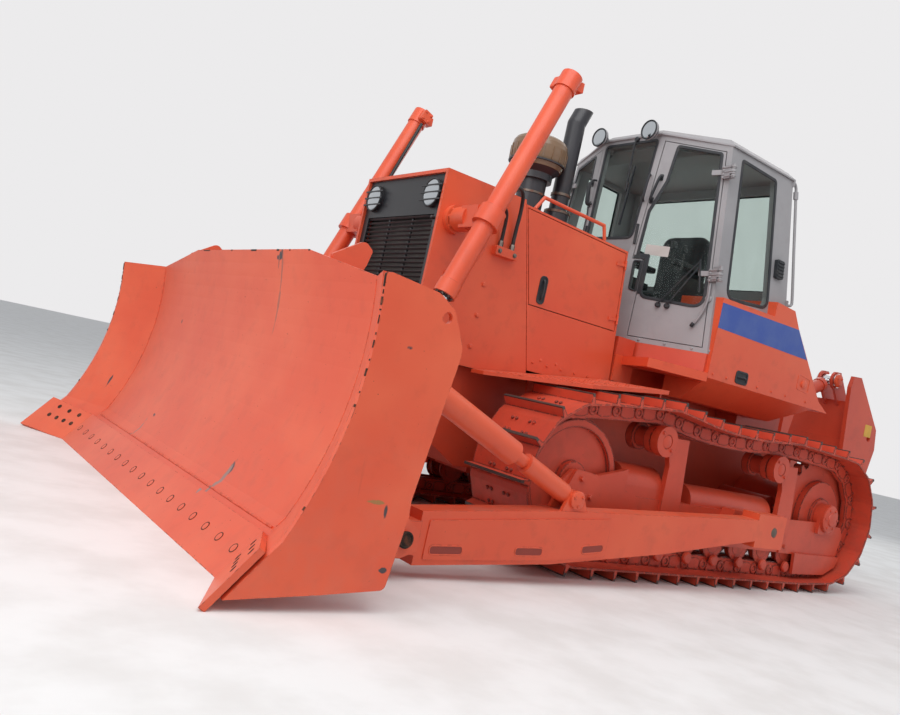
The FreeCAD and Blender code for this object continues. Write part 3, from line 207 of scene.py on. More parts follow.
def lathe(profile: list, origin: tuple, axis: tuple, count: int = 32) -> Shape:
    """A profile turned round an axis: origin + h axis + r (cos a p + sin a q), p and q square to it.

    Args: profile: (radius, height) from the foot to the top. origin, axis: of the turning.
        count: points round the circle, 6 for a hexagon.
    Returns: the turned shape with closed ends.
    """
    profile = np.asarray(profile, float)
    axis = unit(axis)
    aside = np.array([0, 0, 1.0]) if abs(axis[2]) < 0.9 else np.array([1.0, 0, 0])
    p = unit(np.cross(aside, axis))
    q = np.cross(axis, p)
    ring = circle(1, count)
    round_it = ring[:, :1] * p + ring[:, 1:] * q
    points = np.asarray(origin, float) + profile[:, None, 1:] * axis + profile[:, None, :1] * round_it[None]
    faces = grid_faces(len(profile), count, False, True)
    last = (len(profile) - 1) * count
    faces += [tuple(range(count - 1, -1, -1)), tuple(range(last, last + count))]
    return Shape(points.reshape(-1, 3), faces)


def plate(outline: np.ndarray, origin: tuple, right: tuple, up: tuple, depth: float) -> Shape:
    """A flat outline given depth: origin + u right + v up, and the same moved by depth along right x up.

    Args: outline: (u, v) points, anticlockwise. origin, right, up: its plane. depth: its thickness.
    Returns: the closed plate.
    """
    outline = np.asarray(outline, float)
    right, up = unit(right), unit(up)
    base = np.asarray(origin, float) + outline[:, :1] * right + outline[:, 1:] * up
    top = base + np.cross(right, up) * depth
    count = len(outline)
    faces = grid_faces(2, count, False, True)
    faces += [tuple(range(count - 1, -1, -1)), tuple(range(count, 2 * count))]
    return Shape(np.vstack([base, top]), faces)


def rounded(points: np.ndarray, radii: list, steps: int = 6) -> np.ndarray:
    """A polygon with its corners rounded.

    At a corner the arc is the quadratic curve between the two points that lie the tangent length,
    radius / tan(half the corner's angle), from the corner.
    Args: points: corners, plane or in space. radii: one for each. steps: points of each arc.
    Returns: the points of the rounded outline.
    """
    points = np.asarray(points, float)
    before = unit(np.roll(points, 1, axis=0) - points)
    after = unit(np.roll(points, -1, axis=0) - points)
    half = np.arccos(np.clip((before * after).sum(1), -1, 1)) / 2
    cut = (np.asarray(radii, float) / np.tan(half))[:, None]
    start, end = points + before * cut, points + after * cut
    t = np.linspace(0, 1, steps)[None, :, None]
    curve = start[:, None] * (1 - t) ** 2 + 2 * points[:, None] * t * (1 - t) + end[:, None] * t ** 2
    return curve.reshape(-1, points.shape[1])


def box_outline(width: float, height: float, radius: float) -> np.ndarray:
    """Rectangle round its middle with rounded corners."""
    w, h = width / 2, height / 2
    return rounded(np.array([(-w, -h), (w, -h), (w, h), (-w, h)]), [radius] * 4)


def bolts(centres: np.ndarray, axis: tuple, across: float = 24.0, height: float = 12.0) -> Shape:
    """Hexagon heads on round washers, standing on a surface.

    Args: centres: points on the surface. axis: outwards. across: size over the flats. height: of the head.
    Returns: all the heads as one shape.
    """
    washer = lathe([(across * 0.72, -1), (across * 0.72, 2.5), (across * 0.6, 3.2)], (0, 0, 0), axis, 16)
    corner = across / math.sqrt(3)
    head = lathe([(corner, 3), (corner, height * 0.85), (corner * 0.82, height)], (0, 0, 0), axis, 6)
    one = join([washer, head])
    return join([one.moved(tuple(centre)) for centre in np.atleast_2d(np.asarray(centres, float))])


@dataclass
class Skin:
    """A CAD node's surface, to set small pieces on."""

    node: str

    def __post_init__(self) -> None:
        """Keeps the node's faces for rays."""
        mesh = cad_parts[self.node].data
        self.tree = BVHTree.FromPolygons([v.co[:] for v in mesh.vertices], [p.vertices[:] for p in mesh.polygons])

    def hit(self, points: np.ndarray, direction: tuple) -> np.ndarray:
        """Where rays from points first meet the node.

        Args: points: ray starts in millimetres. direction: of all the rays.
        Returns: the points met; a ray that misses keeps its start.
        """
        ray = Vector(direction).normalized()
        result = []
        for point in np.atleast_2d(np.asarray(points, float)):
            start = Vector(((point[0] - ORIGIN_X) * MM, point[1] * MM, point[2] * MM))
            place = self.tree.ray_cast(start, ray)[0]
            result.append(point if place is None else (place.x / MM + ORIGIN_X, place.y / MM, place.z / MM))
        return np.asarray(result, float)


def linear(code: str) -> tuple:
    """Args: code: sRGB hex colour. Returns: linear red, green, blue and 1."""
    values = np.array([int(code[i:i + 2], 16) for i in (1, 3, 5)]) / 255
    low, high = values / 12.92, ((values + 0.055) / 1.055) ** 2.4
    return tuple(float(v) for v in np.where(values <= 0.04045, low, high)) + (1.0,)


@dataclass
class Nodes:
    """A material's node tree, filled by one adding method."""

    material: bpy.types.Material

    def __post_init__(self) -> None:
        """Starts an empty tree."""
        self.material.use_nodes = True
        self.tree = self.material.node_tree
        self.tree.nodes.clear()

    def add(self, kind: str, inputs: dict = None, **settings: object) -> bpy.types.Node:
        """Adds a node.

        Args: kind: type name without ShaderNode. inputs: socket name or number to a value or a socket.
            settings: properties of the node.
        Returns: the node.
        """
        node = self.tree.nodes.new("ShaderNode" + kind)
        for key, value in settings.items():
            setattr(node, key, value)
        for key, value in (inputs or {}).items():
            if isinstance(value, bpy.types.NodeSocket):
                self.tree.links.new(value, node.inputs[key])
            else:
                node.inputs[key].default_value = value
        return node

    def place(self, stretch: tuple = (1, 1, 1)) -> bpy.types.NodeSocket:
        """Returns: object coordinates in metres, stretched."""
        where = self.add("TexCoord").outputs["Object"]
        if stretch == (1, 1, 1):
            return where
        return self.add("VectorMath", {0: where, 1: stretch}, operation="MULTIPLY").outputs[0]

    def noise(self, size_mm: float, detail: float = 3.0, stretch: tuple = (1, 1, 1),
              rough: float = 0.55) -> bpy.types.NodeSocket:
        """Returns: noise from 0 to 1 whose blotches are about size_mm wide."""
        inputs = {"Vector": self.place(stretch), "Scale": 1000 / size_mm, "Detail": detail, "Roughness": rough}
        return self.add("TexNoise", inputs).outputs["Fac"]

    def band(self, value: object, low: float, high: float, to: float = 1.0) -> bpy.types.NodeSocket:
        """Returns: 0 below low, rising smoothly to the value of to at high."""
        inputs = {"Value": value, "From Min": low, "From Max": high, "To Min": 0.0, "To Max": to}
        return self.add("MapRange", inputs, interpolation_type="SMOOTHSTEP").outputs["Result"]

    def math(self, operation: str, a: object, b: object = 0.0) -> bpy.types.NodeSocket:
        """Returns: the result of a Math node, clamped to 0 to 1."""
        return self.add("Math", {0: a, 1: b}, operation=operation, use_clamp=True).outputs[0]

    def blend(self, share: object, low: object, high: object) -> bpy.types.NodeSocket:
        """Returns: a colour mixed from two, each a hex code or a socket."""
        low, high = (linear(c) if isinstance(c, str) else c for c in (low, high))
        mix = self.add("Mix", {"Factor": share}, data_type="RGBA")
        for name, value in (("A", low), ("B", high)):
            socket = [s for s in mix.inputs if s.name == name and s.type == "RGBA"][0]
            if isinstance(value, bpy.types.NodeSocket):
                self.tree.links.new(value, socket)
            else:
                socket.default_value = value
        return [s for s in mix.outputs if s.type == "RGBA"][0]

    def facing_up(self) -> bpy.types.NodeSocket:
        """Returns: 1 on faces that look up, 0 on walls and undersides."""
        normal = self.add("NewGeometry").outputs["Normal"]
        return self.band(self.add("SeparateXYZ", {0: normal}).outputs[2], 0.35, 0.95)

    def height(self, low: float, high: float) -> bpy.types.NodeSocket:
        """Returns: 1 at the low height in metres, falling to 0 at the high one."""
        z = self.add("SeparateXYZ", {0: self.place()}).outputs[2]
        return self.math("SUBTRACT", 1.0, self.band(z, low, high))

    def edges(self, radius_mm: float) -> bpy.types.NodeSocket:
        """Returns: 1 along sharp edges, from how far a bevelled normal leans off the true one."""
        bevel = self.add("Bevel", {"Radius": radius_mm * MM}, samples=4).outputs[0]
        normal = self.add("NewGeometry").outputs["Normal"]
        same = self.add("VectorMath", {0: bevel, 1: normal}, operation="DOT_PRODUCT").outputs["Value"]
        return self.band(self.math("SUBTRACT", 1.0, same), 0.01, 0.12)

    def bumps(self, layers: list) -> bpy.types.NodeSocket:
        """Args: layers: (height socket, depth in millimetres, strength). Returns: the bumped normal."""
        normal = None
        for height, depth, strength in layers:
            inputs = {"Height": height, "Distance": depth * MM, "Strength": strength}
            if normal is not None:
                inputs["Normal"] = normal
            normal = self.add("Bump", inputs).outputs[0]
        return normal

    def mark(self, centre: tuple, half: tuple, ragged: bpy.types.NodeSocket) -> bpy.types.NodeSocket:
        """A ragged spot: 1 inside an ellipsoid whose edge is shifted by noise.

        Args: centre, half: middle and half sizes in millimetres. ragged: noise that frays the edge.
        Returns: the mask.
        """
        middle = ((centre[0] - ORIGIN_X) * MM, centre[1] * MM, centre[2] * MM)
        away = self.add("VectorMath", {0: self.place(), 1: middle}, operation="SUBTRACT").outputs[0]
        scaled = self.add("VectorMath", {0: away, 1: tuple(1000 / h for h in half)}, operation="MULTIPLY").outputs[0]
        reach = self.add("VectorMath", {0: scaled}, operation="LENGTH").outputs["Value"]
        fray = self.add("Math", {0: ragged, 1: 2.4, 2: reach}, operation="MULTIPLY_ADD").outputs[0]
        return self.math("SUBTRACT", 1.0, self.band(fray, 1.75, 2.15))

    def finish(self, shader: bpy.types.Node) -> bpy.types.Material:
        """Links the surface and returns the material."""
        self.add("OutputMaterial", {"Surface": shader.outputs[0]})
        return self.material


@dataclass(frozen=True)
class Paint:
    """Sprayed enamel on plate steel: even colour, faded in soft blotches, dusty on top, chipped at its edges.

    whole is the share of its edges that still hold paint; marks holds (middle, half sizes, colour) of
    single scars, in millimetres.
    """

    name: str
    colour: str
    faded: str
    dust: float = 0.35
    dust_colour: str = "#8F8175"
    mud: float = 0.0
    chips: float = 0.5
    chip_colour: str = "#4A2A20"
    scratches: float = 0.25
    grime: float = 0.12
    roughness: float = 0.42
    edge_mm: float = 7.0
    whole: float = 0.48
    marks: tuple = ()

    def make(self) -> bpy.types.Material:
        """Returns: the paint as a material."""
        n = Nodes(bpy.data.materials.new(self.name))
        fade = n.band(n.noise(700, 3), 0.34, 0.7)
        colour = n.blend(fade, self.colour, self.faded)
        grime = n.band(n.noise(110, 6), 0.5, 0.75, self.grime)
        colour = n.blend(grime, colour, self.chip_colour)
        streak = n.band(n.noise(30, 5, (1, 1, 0.07)), 0.64, 0.78, self.scratches * 0.3)
        colour = n.blend(streak, colour, "#7A3A28")
        scratch = n.band(n.noise(9, 2, (0.12, 0.3, 1.0)), 0.7, 0.74, self.scratches)
        scratch = n.math("MULTIPLY", scratch, n.band(n.noise(300, 2), 0.54, 0.66))
        bare = n.band(n.noise(34, 5), self.whole, self.whole + 0.12, self.chips)
        chip_edge = n.math("MULTIPLY", n.edges(self.edge_mm), bare)
        specks = n.band(n.noise(17, 3), 0.735, 0.76, self.chips)
        worn = n.math("MAXIMUM", n.math("MAXIMUM", chip_edge, specks), scratch)
        colour = n.blend(worn, colour, self.chip_colour)
        ragged = n.noise(36, 6, (1, 1, 0.4)) if self.marks else None
        for centre, half, scar in self.marks:
            spot = n.mark(centre, half, ragged)
            colour = n.blend(spot, colour, scar)
        settled = n.math("MULTIPLY", n.facing_up(), n.band(n.noise(150, 6), 0.3, 0.75, self.dust))
        low = n.math("MULTIPLY", n.height(0.15, 1.3), n.band(n.noise(90, 6), 0.42, 0.68, self.mud))
        dirt = n.math("MAXIMUM", settled, low)
        colour = n.blend(dirt, colour, self.dust_colour)
        rough = n.math("ADD", n.math("MULTIPLY", n.math("MAXIMUM", dirt, worn), 0.35), self.roughness)
        normal = n.bumps([(n.noise(3.2, 2), 0.35, 0.1), (n.noise(420, 2), 10.0, 0.12),
                          (n.math("SUBTRACT", 1.0, worn), 0.4, 0.4), (dirt, 0.8, 0.3)])
        shader = n.add("BsdfPrincipled", {"Base Color": colour, "Roughness": rough, "Normal": normal,
                                          "Coat Weight": 0.08, "Coat Roughness": 0.25})
        return n.finish(shader)


@dataclass(frozen=True)
class Metal:
    """Bare or plated steel: metallic, rubbed bright or left to rust in blotches."""

    name: str
    colour: str
    rust: float = 0.0
    roughness: float = 0.3
    grain_mm: float = 2.0

    def make(self) -> bpy.types.Material:
        """Returns: the metal as a material."""
        n = Nodes(bpy.data.materials.new(self.name))
        rusty = n.band(n.noise(45, 6), 0.62 - 0.3 * self.rust, 0.74, min(1.0, self.rust * 1.6))
        colour = n.blend(rusty, self.colour, n.blend(n.noise(12, 4), "#5A3020", "#8A5238"))
        metallic = n.math("SUBTRACT", 1.0, rusty)
        rough = n.math("ADD", n.math("MULTIPLY", rusty, 0.5), self.roughness)
        normal = n.bumps([(n.noise(self.grain_mm, 3), 0.2, 0.25), (rusty, 0.5, 0.4)])
        shader = n.add("BsdfPrincipled", {"Base Color": colour, "Metallic": metallic, "Roughness": rough,
                                          "Normal": normal})
        return n.finish(shader)


@dataclass(frozen=True)
class Moulded:
    """Moulded rubber or plastic, or cast iron: dull, grained, with a little dust in it."""

    name: str
    colour: str
    roughness: float = 0.6
    grain_mm: float = 1.5
    dust: float = 0.25

    def make(self) -> bpy.types.Material:
        """Returns: the plastic as a material."""
        n = Nodes(bpy.data.materials.new(self.name))
        settled = n.math("MULTIPLY", n.facing_up(), n.band(n.noise(60, 5), 0.35, 0.7, self.dust))
        film = n.band(n.noise(110, 5), 0.45, 0.75, self.dust * 0.5)
        colour = n.blend(n.math("MAXIMUM", settled, film), self.colour, "#8C8279")
        normal = n.bumps([(n.noise(self.grain_mm, 2), 0.2, 0.35)])
        shader = n.add("BsdfPrincipled", {"Base Color": colour, "Roughness": self.roughness, "Normal": normal})
        return n.finish(shader)


@dataclass(frozen=True)
class Cloth:
    """Woven seat cloth: fine crossed threads with a soft sheen."""

    name: str
    colour: str
    thread_mm: float = 3.0

    def make(self) -> bpy.types.Material:
        """Returns: the cloth as a material, its threads drawn wider than real so that they show."""
        n = Nodes(bpy.data.materials.new(self.name))
        where, scale = n.place(), 1000 / self.thread_mm / 6.283
        warp = n.add("TexWave", {"Vector": where, "Scale": scale, "Distortion": 0.3}, bands_direction="Y").outputs[0]
        weft = n.add("TexWave", {"Vector": where, "Scale": scale, "Distortion": 0.3}, bands_direction="Z").outputs[0]
        weave = n.math("MULTIPLY", n.add("RGBToBW", {0: warp}).outputs[0], n.add("RGBToBW", {0: weft}).outputs[0])
        colour = n.blend(n.band(n.noise(120, 4), 0.4, 0.7), self.colour, "#4A4A4C")
        shader = n.add("BsdfPrincipled", {"Base Color": colour, "Roughness": 0.9, "Sheen Weight": 0.3,
                                          "Normal": n.bumps([(weave, 0.6, 0.6)])})
        return n.finish(shader)


@dataclass(frozen=True)
class Glass:
    """Toughened sheet glass: mostly clear, tinted, with a dusty film."""

    name: str
    tint: str
    clear: float
    film: float = 0.25

    def make(self) -> bpy.types.Material:
        """Returns: glass as a mix of see-through tint and a glossy film."""
        n = Nodes(bpy.data.materials.new(self.name))
        through = n.add("BsdfTransparent", {"Color": linear(self.tint)})
        smear = n.band(n.noise(170, 5, (1, 1, 0.5)), 0.35, 0.8, self.film)
        colour = n.blend(smear, "#1A2629", "#8E9A9C")
        shader = n.add("BsdfPrincipled", {"Base Color": colour, "Roughness": 0.06, "IOR": 1.5})
        share = n.math("ADD", n.math("MULTIPLY", smear, 0.5), 1 - self.clear)
        mix = n.add("MixShader", {0: share, 1: through.outputs[0], 2: shader.outputs[0]})
        return n.finish(mix)


@dataclass(frozen=True)
class Flat:
    """Screen-printed vinyl or coloured plastic: one ink, rubbed and scuffed through in places."""

    name: str
    colour: str
    under: str
    roughness: float = 0.4

    def make(self) -> bpy.types.Material:
        """Returns: the vinyl as a material."""
        n = Nodes(bpy.data.materials.new(self.name))
        rubbed = n.band(n.noise(14, 5), 0.66, 0.72, 0.7)
        shade = n.blend(n.band(n.noise(180, 4), 0.35, 0.7, 0.4), self.colour, self.under)
        colour = n.blend(rubbed, shade, self.under)
        shader = n.add("BsdfPrincipled", {"Base Color": colour, "Roughness": self.roughness,
                                          "Normal": n.bumps([(n.noise(4, 2), 0.15, 0.2)])})
        return n.finish(shader)


RUST, SOOT = "#6A3A2C", "#3E3538"
BLADE_SCARS = (
    ((3088, 516, 1500), (300, 60, 16), SOOT),
    ((3090, 530, 1512), (300, 26, 26), SOOT),
    ((3090, 545, 1530), (300, 14, 60), SOOT),
    ((3085, 505, 1470), (300, 8, 50), "#A4553F"),
    ((3080, 556, 1400), (300, 13, 220), "#AF5C45"),
    ((3050, 564, 1200), (300, 10, 170), "#AF5C45"),
    ((3215, 842, 345), (300, 26, 50), SOOT),
    ((3240, 828, 290), (300, 22, 80), "#94736C"),
    ((3285, 806, 215), (300, 16, 60), "#94736C"),
    ((3200, -659, 387), (300, 24, 18), SOOT),
    ((3250, -729, 280), (300, 10, 60), "#94736C"),
    ((3050, -1009, 1033), (300, 14, 16), RUST),
    ((3240, -1764, 481), (300, 10, 60), SOOT),
    ((3085, 2044, 470), (60, 60, 9), "#A0703C"),
    ((3028, 2044, 432), (12, 60, 44), SOOT),
    ((2978, 2044, 190), (34, 60, 12), SOOT),
    ((3090, 1990, 1120), (20, 90, 12), SOOT),
)

FINISHES = {
    "orange": Paint("orange_enamel", "#DB5230", "#DF5C38", scratches=0.2, dust=0.3),
    "blade": Paint("blade_enamel", "#DC5432", "#E4633F", scratches=0.4, chips=0.75, dust=0.15, mud=0.06, grime=0.08,
                   marks=BLADE_SCARS),
    "track": Paint("track_enamel", "#CF4A30", "#BF3F29", mud=0.3, chips=1.0, dust=0.3, scratches=0.4, edge_mm=20.0,
                   whole=0.36, chip_colour="#46322D", roughness=0.52, grime=0.16, dust_colour="#7E4A3A"),
    "frame": Paint("track_frame_enamel", "#D04B2F", "#C5432A", mud=0.12, dust=0.3, chips=0.6, grime=0.1,
                   dust_colour="#86503F"),
    "grey": Paint("cab_enamel", "#9C999B", "#8F8D8F", chips=0.2, chip_colour="#5A5654", scratches=0.08, edge_mm=4.0,
                  dust=0.25, grime=0.1),
    "dark": Paint("grille_enamel", "#1D1E22", "#26272B", chips=0.1, chip_colour="#5A5652", scratches=0.05,
                  edge_mm=3.0, dust=0.15, grime=0.05),
    "black": Paint("stack_enamel", "#1F1F25", "#2A292F", chips=0.3, chip_colour="#6B4A3A", scratches=0.3, dust=0.15),
    "steel": Metal("worn_steel", "#6E645C", rust=0.7, roughness=0.42),
    "bolt": Metal("bolt_steel", "#77716B", rust=0.35, roughness=0.42),
    # Dark rusty steel: bare metal where paint is knocked off, and painted shade in bolt recesses and countersinks.
    "hole": Metal("dark_steel_and_recess_shade", "#3A332F", rust=0.6, roughness=0.6),
    "reflector": Metal("lamp_reflector", "#B9BEC2", rust=0.05, roughness=0.12),
    "chrome": Metal("chrome_plate", "#D8DADC", rust=0.02, roughness=0.09, grain_mm=6.0),
    "iron": Moulded("cast_iron", "#4A4643", 0.7, 3.0, 0.4),
    "rubber": Moulded("seal_rubber", "#1B1F25", 0.55, 1.5, 0.2),
    "hose": Moulded("hose_rubber", "#1D1C1E", 0.5, 2.0, 0.3),
    "plastic": Moulded("console_plastic", "#2A2B2D", 0.5, 1.2, 0.3),
    "bowl": Moulded("bowl_plastic", "#7A6048", 0.22, 8.0, 0.35),
    "cloth": Cloth("seat_cloth", "#2C2D30"),
    "glass": Glass("cab_glass", "#F3F8F6", 0.93, 0.05),
    "stripe": Flat("blue_stripe", "#2C4D9E", "#51689F"),
    "sticker": Flat("pale_sticker", "#BDB6B1", "#A49C96"),
    "tip": Flat("worn_grouser_steel", "#3A3431", "#5E4A42", 0.5),
    # Paler than the blade's enamel: a painted highlight along a raised weld bead.
    "bead": Flat("weld_enamel", "#EE8468", "#E4755A", 0.45),
    # Flat dark red painted shade, for the lap of a joint and the floors of slots.
    "crease_shade": Flat("shaded_enamel", "#8E3324", "#7A2B20", 0.5),
    "plate": Flat("yellow_plate", "#E0A92C", "#8F6A20"),
}


class Finishes:
    """Makes each finish once and hands it out by its short name."""

    made: dict = {}

    @classmethod
    def get(cls, name: str) -> bpy.types.Material:
        """Returns: the material of a finish."""
        if name not in cls.made:
            cls.made[name] = FINISHES[name].make()
        return cls.made[name]


@dataclass(frozen=True)
class Wall:
    """A flat wall of the cab: lower corner, run along the foot and upper corner."""

    corner: tuple
    along: tuple
    high: tuple
    outwards: int = 1

    def frame(self) -> tuple:
        """Returns: unit run, unit rise within the wall and unit normal outwards."""
        run = unit(self.along)
        rise = np.subtract(self.high, self.corner)
        rise = unit(rise - run * (rise @ run))
        return run, rise, np.cross(run, rise) * self.outwards

    def points(self, table: list, off: float = 0.0) -> np.ndarray:
        """Args: table: (u along the foot, height z). off: distance off the wall. Returns: points in space."""
        run, rise, normal = self.frame()
        table = np.asarray(table, float)
        lift = (table[:, 1:2] - self.corner[2]) / rise[2]
        return np.asarray(self.corner, float) + run * table[:, :1] + rise * lift + normal * off

    def seal(self, table: list, radii: list, width: float = 17.0, height: float = 9.0) -> Shape:
        """A rubber strip round a window: a rounded bar swept along its outline."""
        path = rounded(self.points(table), radii, 7)
        return sweep(path, box_outline(width, height, 3.5), tuple(self.frame()[2]), closed=True)

    def panel(self, table: list, radii: list, off: float, depth: float) -> Shape:
        """A flat plate lying on the wall, its outline rounded."""
        base = rounded(self.points(table, off), radii, 6)
        normal = self.frame()[2]
        count = len(base)
        turn = np.cross(base[1] - base[0], base[len(base) // 2] - base[0]) @ normal
        top = base + normal * depth
        faces = grid_faces(2, count, False, True)
        faces += [tuple(range(count - 1, -1, -1)), tuple(range(count, 2 * count))]
        if turn < 0:
            faces = [tuple(reversed(face)) for face in faces]
        return Shape(np.vstack([base, top]), faces)


@dataclass
class Hose:
    """A hydraulic hose: a NURBS curve of order 3 through its first and last points."""

    points: list
    diameter: float

    def place(self, side: Side, name: str, body: str) -> bpy.types.Object:
        """Args: side: drawn for the left, and mirrored for the right. name: piece name. body: that it rides on.
        Returns: the curve object.
        """
        table = (np.asarray(self.points, float) * [1, side.value, 1] - [ORIGIN_X, 0, 0]) * MM
        curve = bpy.data.curves.new(name, "CURVE")
        curve.dimensions = "3D"
        curve.resolution_u = 10
        spline = curve.splines.new("NURBS")
        spline.points.add(len(table) - 1)
        spline.points.foreach_set("co", np.hstack([table, np.ones((len(table), 1))]).ravel())
        spline.order_u = 3
        spline.use_endpoint_u = True
        obj = bpy.data.objects.new(name, curve)
        bpy.context.scene.collection.objects.link(obj)
        line = bpy.data.meshes.new_from_object(obj)
        centre = np.empty(len(line.vertices) * 3)
        line.vertices.foreach_get("co", centre)
        bpy.data.meshes.remove(line)
        curve.bevel_depth = self.diameter / 2 * MM
        curve.bevel_resolution = 3
        curve.use_fill_caps = True
        curve.materials.append(Finishes.get("hose"))
        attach(obj, body)
        return obj


@dataclass
class Blade:
    """Bolts, welds and scars of the blade."""

    foot_x: float = 3515.0
    lean: float = 170.0
    edge_rise: float = 213.0
    fold_y: float = 1615.0
    wing_slope: float = math.tan(math.radians(27.5))
    bit_reach: float = 429.0
    bolt_count: int = 18
    upper_holes: tuple = ((0.20, 0.84), (0.44, 0.855), (0.69, 0.885))
    lower_holes: tuple = ((0.166, 0.52), (0.343, 0.525), (0.516, 0.535), (0.70, 0.55))
    ahead: float = 4300.0
    end_y: float = 2036.0
    top_z: float = 1541.0
    front_scuffs: tuple = ((1396, 1338), (1326, 1308), (1296, 1262), (1246, 1240), (1222, 1186), (1150, 1140),
                           (1118, 1086), (1040, 1032), (1000, 968), (905, 897), (850, 838), (420, 405))
    top_scuffs: tuple = ((-1180, -1120), (-1010, -995), (-760, -640), (-240, -226), (90, 170), (470, 500), (640, 652),
                         (880, 905), (1060, 1074))

    def edge_bolts(self) -> None:
        """One row of plough bolts in orange paint along the edge, each in a dark ring that is painted shade in its
        recess, and seven dark bolts on each corner bit, their dark a painted shade in the countersinks.
        """
        normal = tuple(unit([self.edge_rise, 0, self.lean]))
        rise = 0.52
        spots = [(self.foot_x - self.lean * rise, y, self.edge_rise * rise)
                 for y in np.linspace(-1540, 1540, self.bolt_count)]
        heads = [lathe([(20, -2), (20, 0.7), (6, 0.7), (4, 1.3)], spot, normal, 20) for spot in spots]
        # Dark rings round the heads: painted shade in each bolt's recess.
        rings = [lathe([(24.5, -2), (24.5, 0.9), (20, 0.9), (20, -2)], spot, normal, 20) for spot in spots]
        join(heads).place("cutting_edge_bolts", Finishes.get("blade"), "blade", "orange_paint")
        join(rings).place("cutting_edge_ring_shade", Finishes.get("hole"), "blade", "bare_steel")
        corner = np.array([self.foot_x, self.fold_y, 0])
        out = np.array([self.wing_slope * self.bit_reach, self.bit_reach, 15])
        up = np.array([-self.lean, 0, self.edge_rise])
        face = unit(np.cross(out, up))
        face = tuple(face if face[0] > 0 else -face)
        # The corner bits' bolts are dark as painted shade in their countersinks.
        dish = [(17, -2), (17, 1.0), (13, 1.4), (11, 0.5), (4, 0.9)]
        holes = [lathe(dish, tuple(corner + out * a + up * b), face, 16)
                 for a, b in self.upper_holes + self.lower_holes]
        both(join(holes)).place("corner_bit_bolt_shade", Finishes.get("hole"), "blade", "bare_steel")

    def scuffs(self) -> None:
        """Paint knocked off down the end plates' front edges and along the mouldboard's top edge."""
        skin = Skin("blade_end_plates")
        marks = []
        for z0, z1 in self.front_scuffs:
            zs = np.linspace(z0, z1, 8)
            line = skin.hit(np.stack([np.full(8, self.ahead), np.full(8, self.end_y), zs], axis=1), (-1, 0, 0))
            width = 3.5 + 3 * abs(math.sin(z0))
            marks.append(sweep(line, box_outline(width, 2 * width, 1), (0, 1, 0)))
        both(join(marks)).place("end_plate_scuffs", Finishes.get("hole"), "blade", "bare_steel")
        skin = Skin("blade_mouldboard")
        top = []
        for y0, y1 in self.top_scuffs:
            ys = np.linspace(y0, y1, 6)
            line = skin.hit(np.stack([np.full(6, self.ahead), ys, np.full(6, self.top_z)], axis=1), (-1, 0, 0))
            line = line[np.abs(line[:, 0] - self.ahead) > 1]
            if len(line) > 2:
                top.append(sweep(line, box_outline(2.4, 6 + 5 * abs(math.sin(y0)), 1), (0, 0, 1)))
        join(top).place("top_edge_scuffs", Finishes.get("hole"), "blade", "bare_steel")

    def welds(self) -> None:
        """Beads where the sheet meets the edge and the wings."""
        skin = Skin("blade_mouldboard")
        ys = np.linspace(-self.fold_y + 20, self.fold_y - 20, 90)
        starts = np.stack([np.full_like(ys, self.ahead), ys, np.full_like(ys, 226.0)], axis=1)
        hits = skin.hit(starts, (-1, 0, 0))
        lump = (np.sin(ys * 0.21) + np.sin(ys * 0.093 + 1)) * 1.2
        bead = hits + np.stack([lump * 0.3, ys * 0, lump], axis=1)
        sweep(bead, circle(7, 8)).place("edge_weld", Finishes.get("blade"), "blade", "orange_paint")
        beads = []
        for y in (self.fold_y + 2,):
            zs = np.linspace(236, 1405, 70)
            starts = np.stack([np.full_like(zs, self.ahead), np.full_like(zs, y), zs], axis=1)
            line = skin.hit(starts, (-1, 0, 0))
            beads.append(sweep(line, circle(5, 8), (0, 1, 0)))
        both(join(beads)).place("fold_welds", Finishes.get("blade"), "blade", "orange_paint")

    def end_seams(self) -> None:
        """A raised weld across the upper end plate, its paler orange a painted highlight along the bead, and a lapped
        joint across the lower one, drawn in flat dark red as painted shade in the lap.
        """
        skin = Skin("blade_end_plates")
        lines = []
        for front_z, rear_z in ((1004, 978), (575, 500)):
            front = skin.hit(np.array([[self.ahead, self.end_y, front_z]]), (-1, 0, 0))[0]
            rear = skin.hit(np.array([[2300.0, 2036.0, rear_z]]), (1, 0, 0))[0]
            lines.append(smooth_path([(front[0] - 3, 2042.8, front_z), ((front[0] + rear[0]) / 2, 2042.8,
                                                                     (front_z + rear_z) / 2),
                                      (rear[0] + 3, 2042.8, rear_z)], 40))
        # The upper weld wears paler enamel as a painted highlight; the lower joint wears flat dark red as painted shade
        # in its lap.
        both(sweep(lines[0], box_outline(2.2, 12, 1))).place("end_plate_welds", Finishes.get("bead"), "blade",
                                                              "orange_paint")
        both(sweep(lines[1], box_outline(2.2, 7, 1))).place("end_plate_joint_shade", Finishes.get("crease_shade"), "blade",
                                                            "orange_paint")

    def build(self) -> None:
        """Makes all the pieces."""
        self.edge_bolts()
        self.scuffs()
        self.welds()
        self.end_seams()


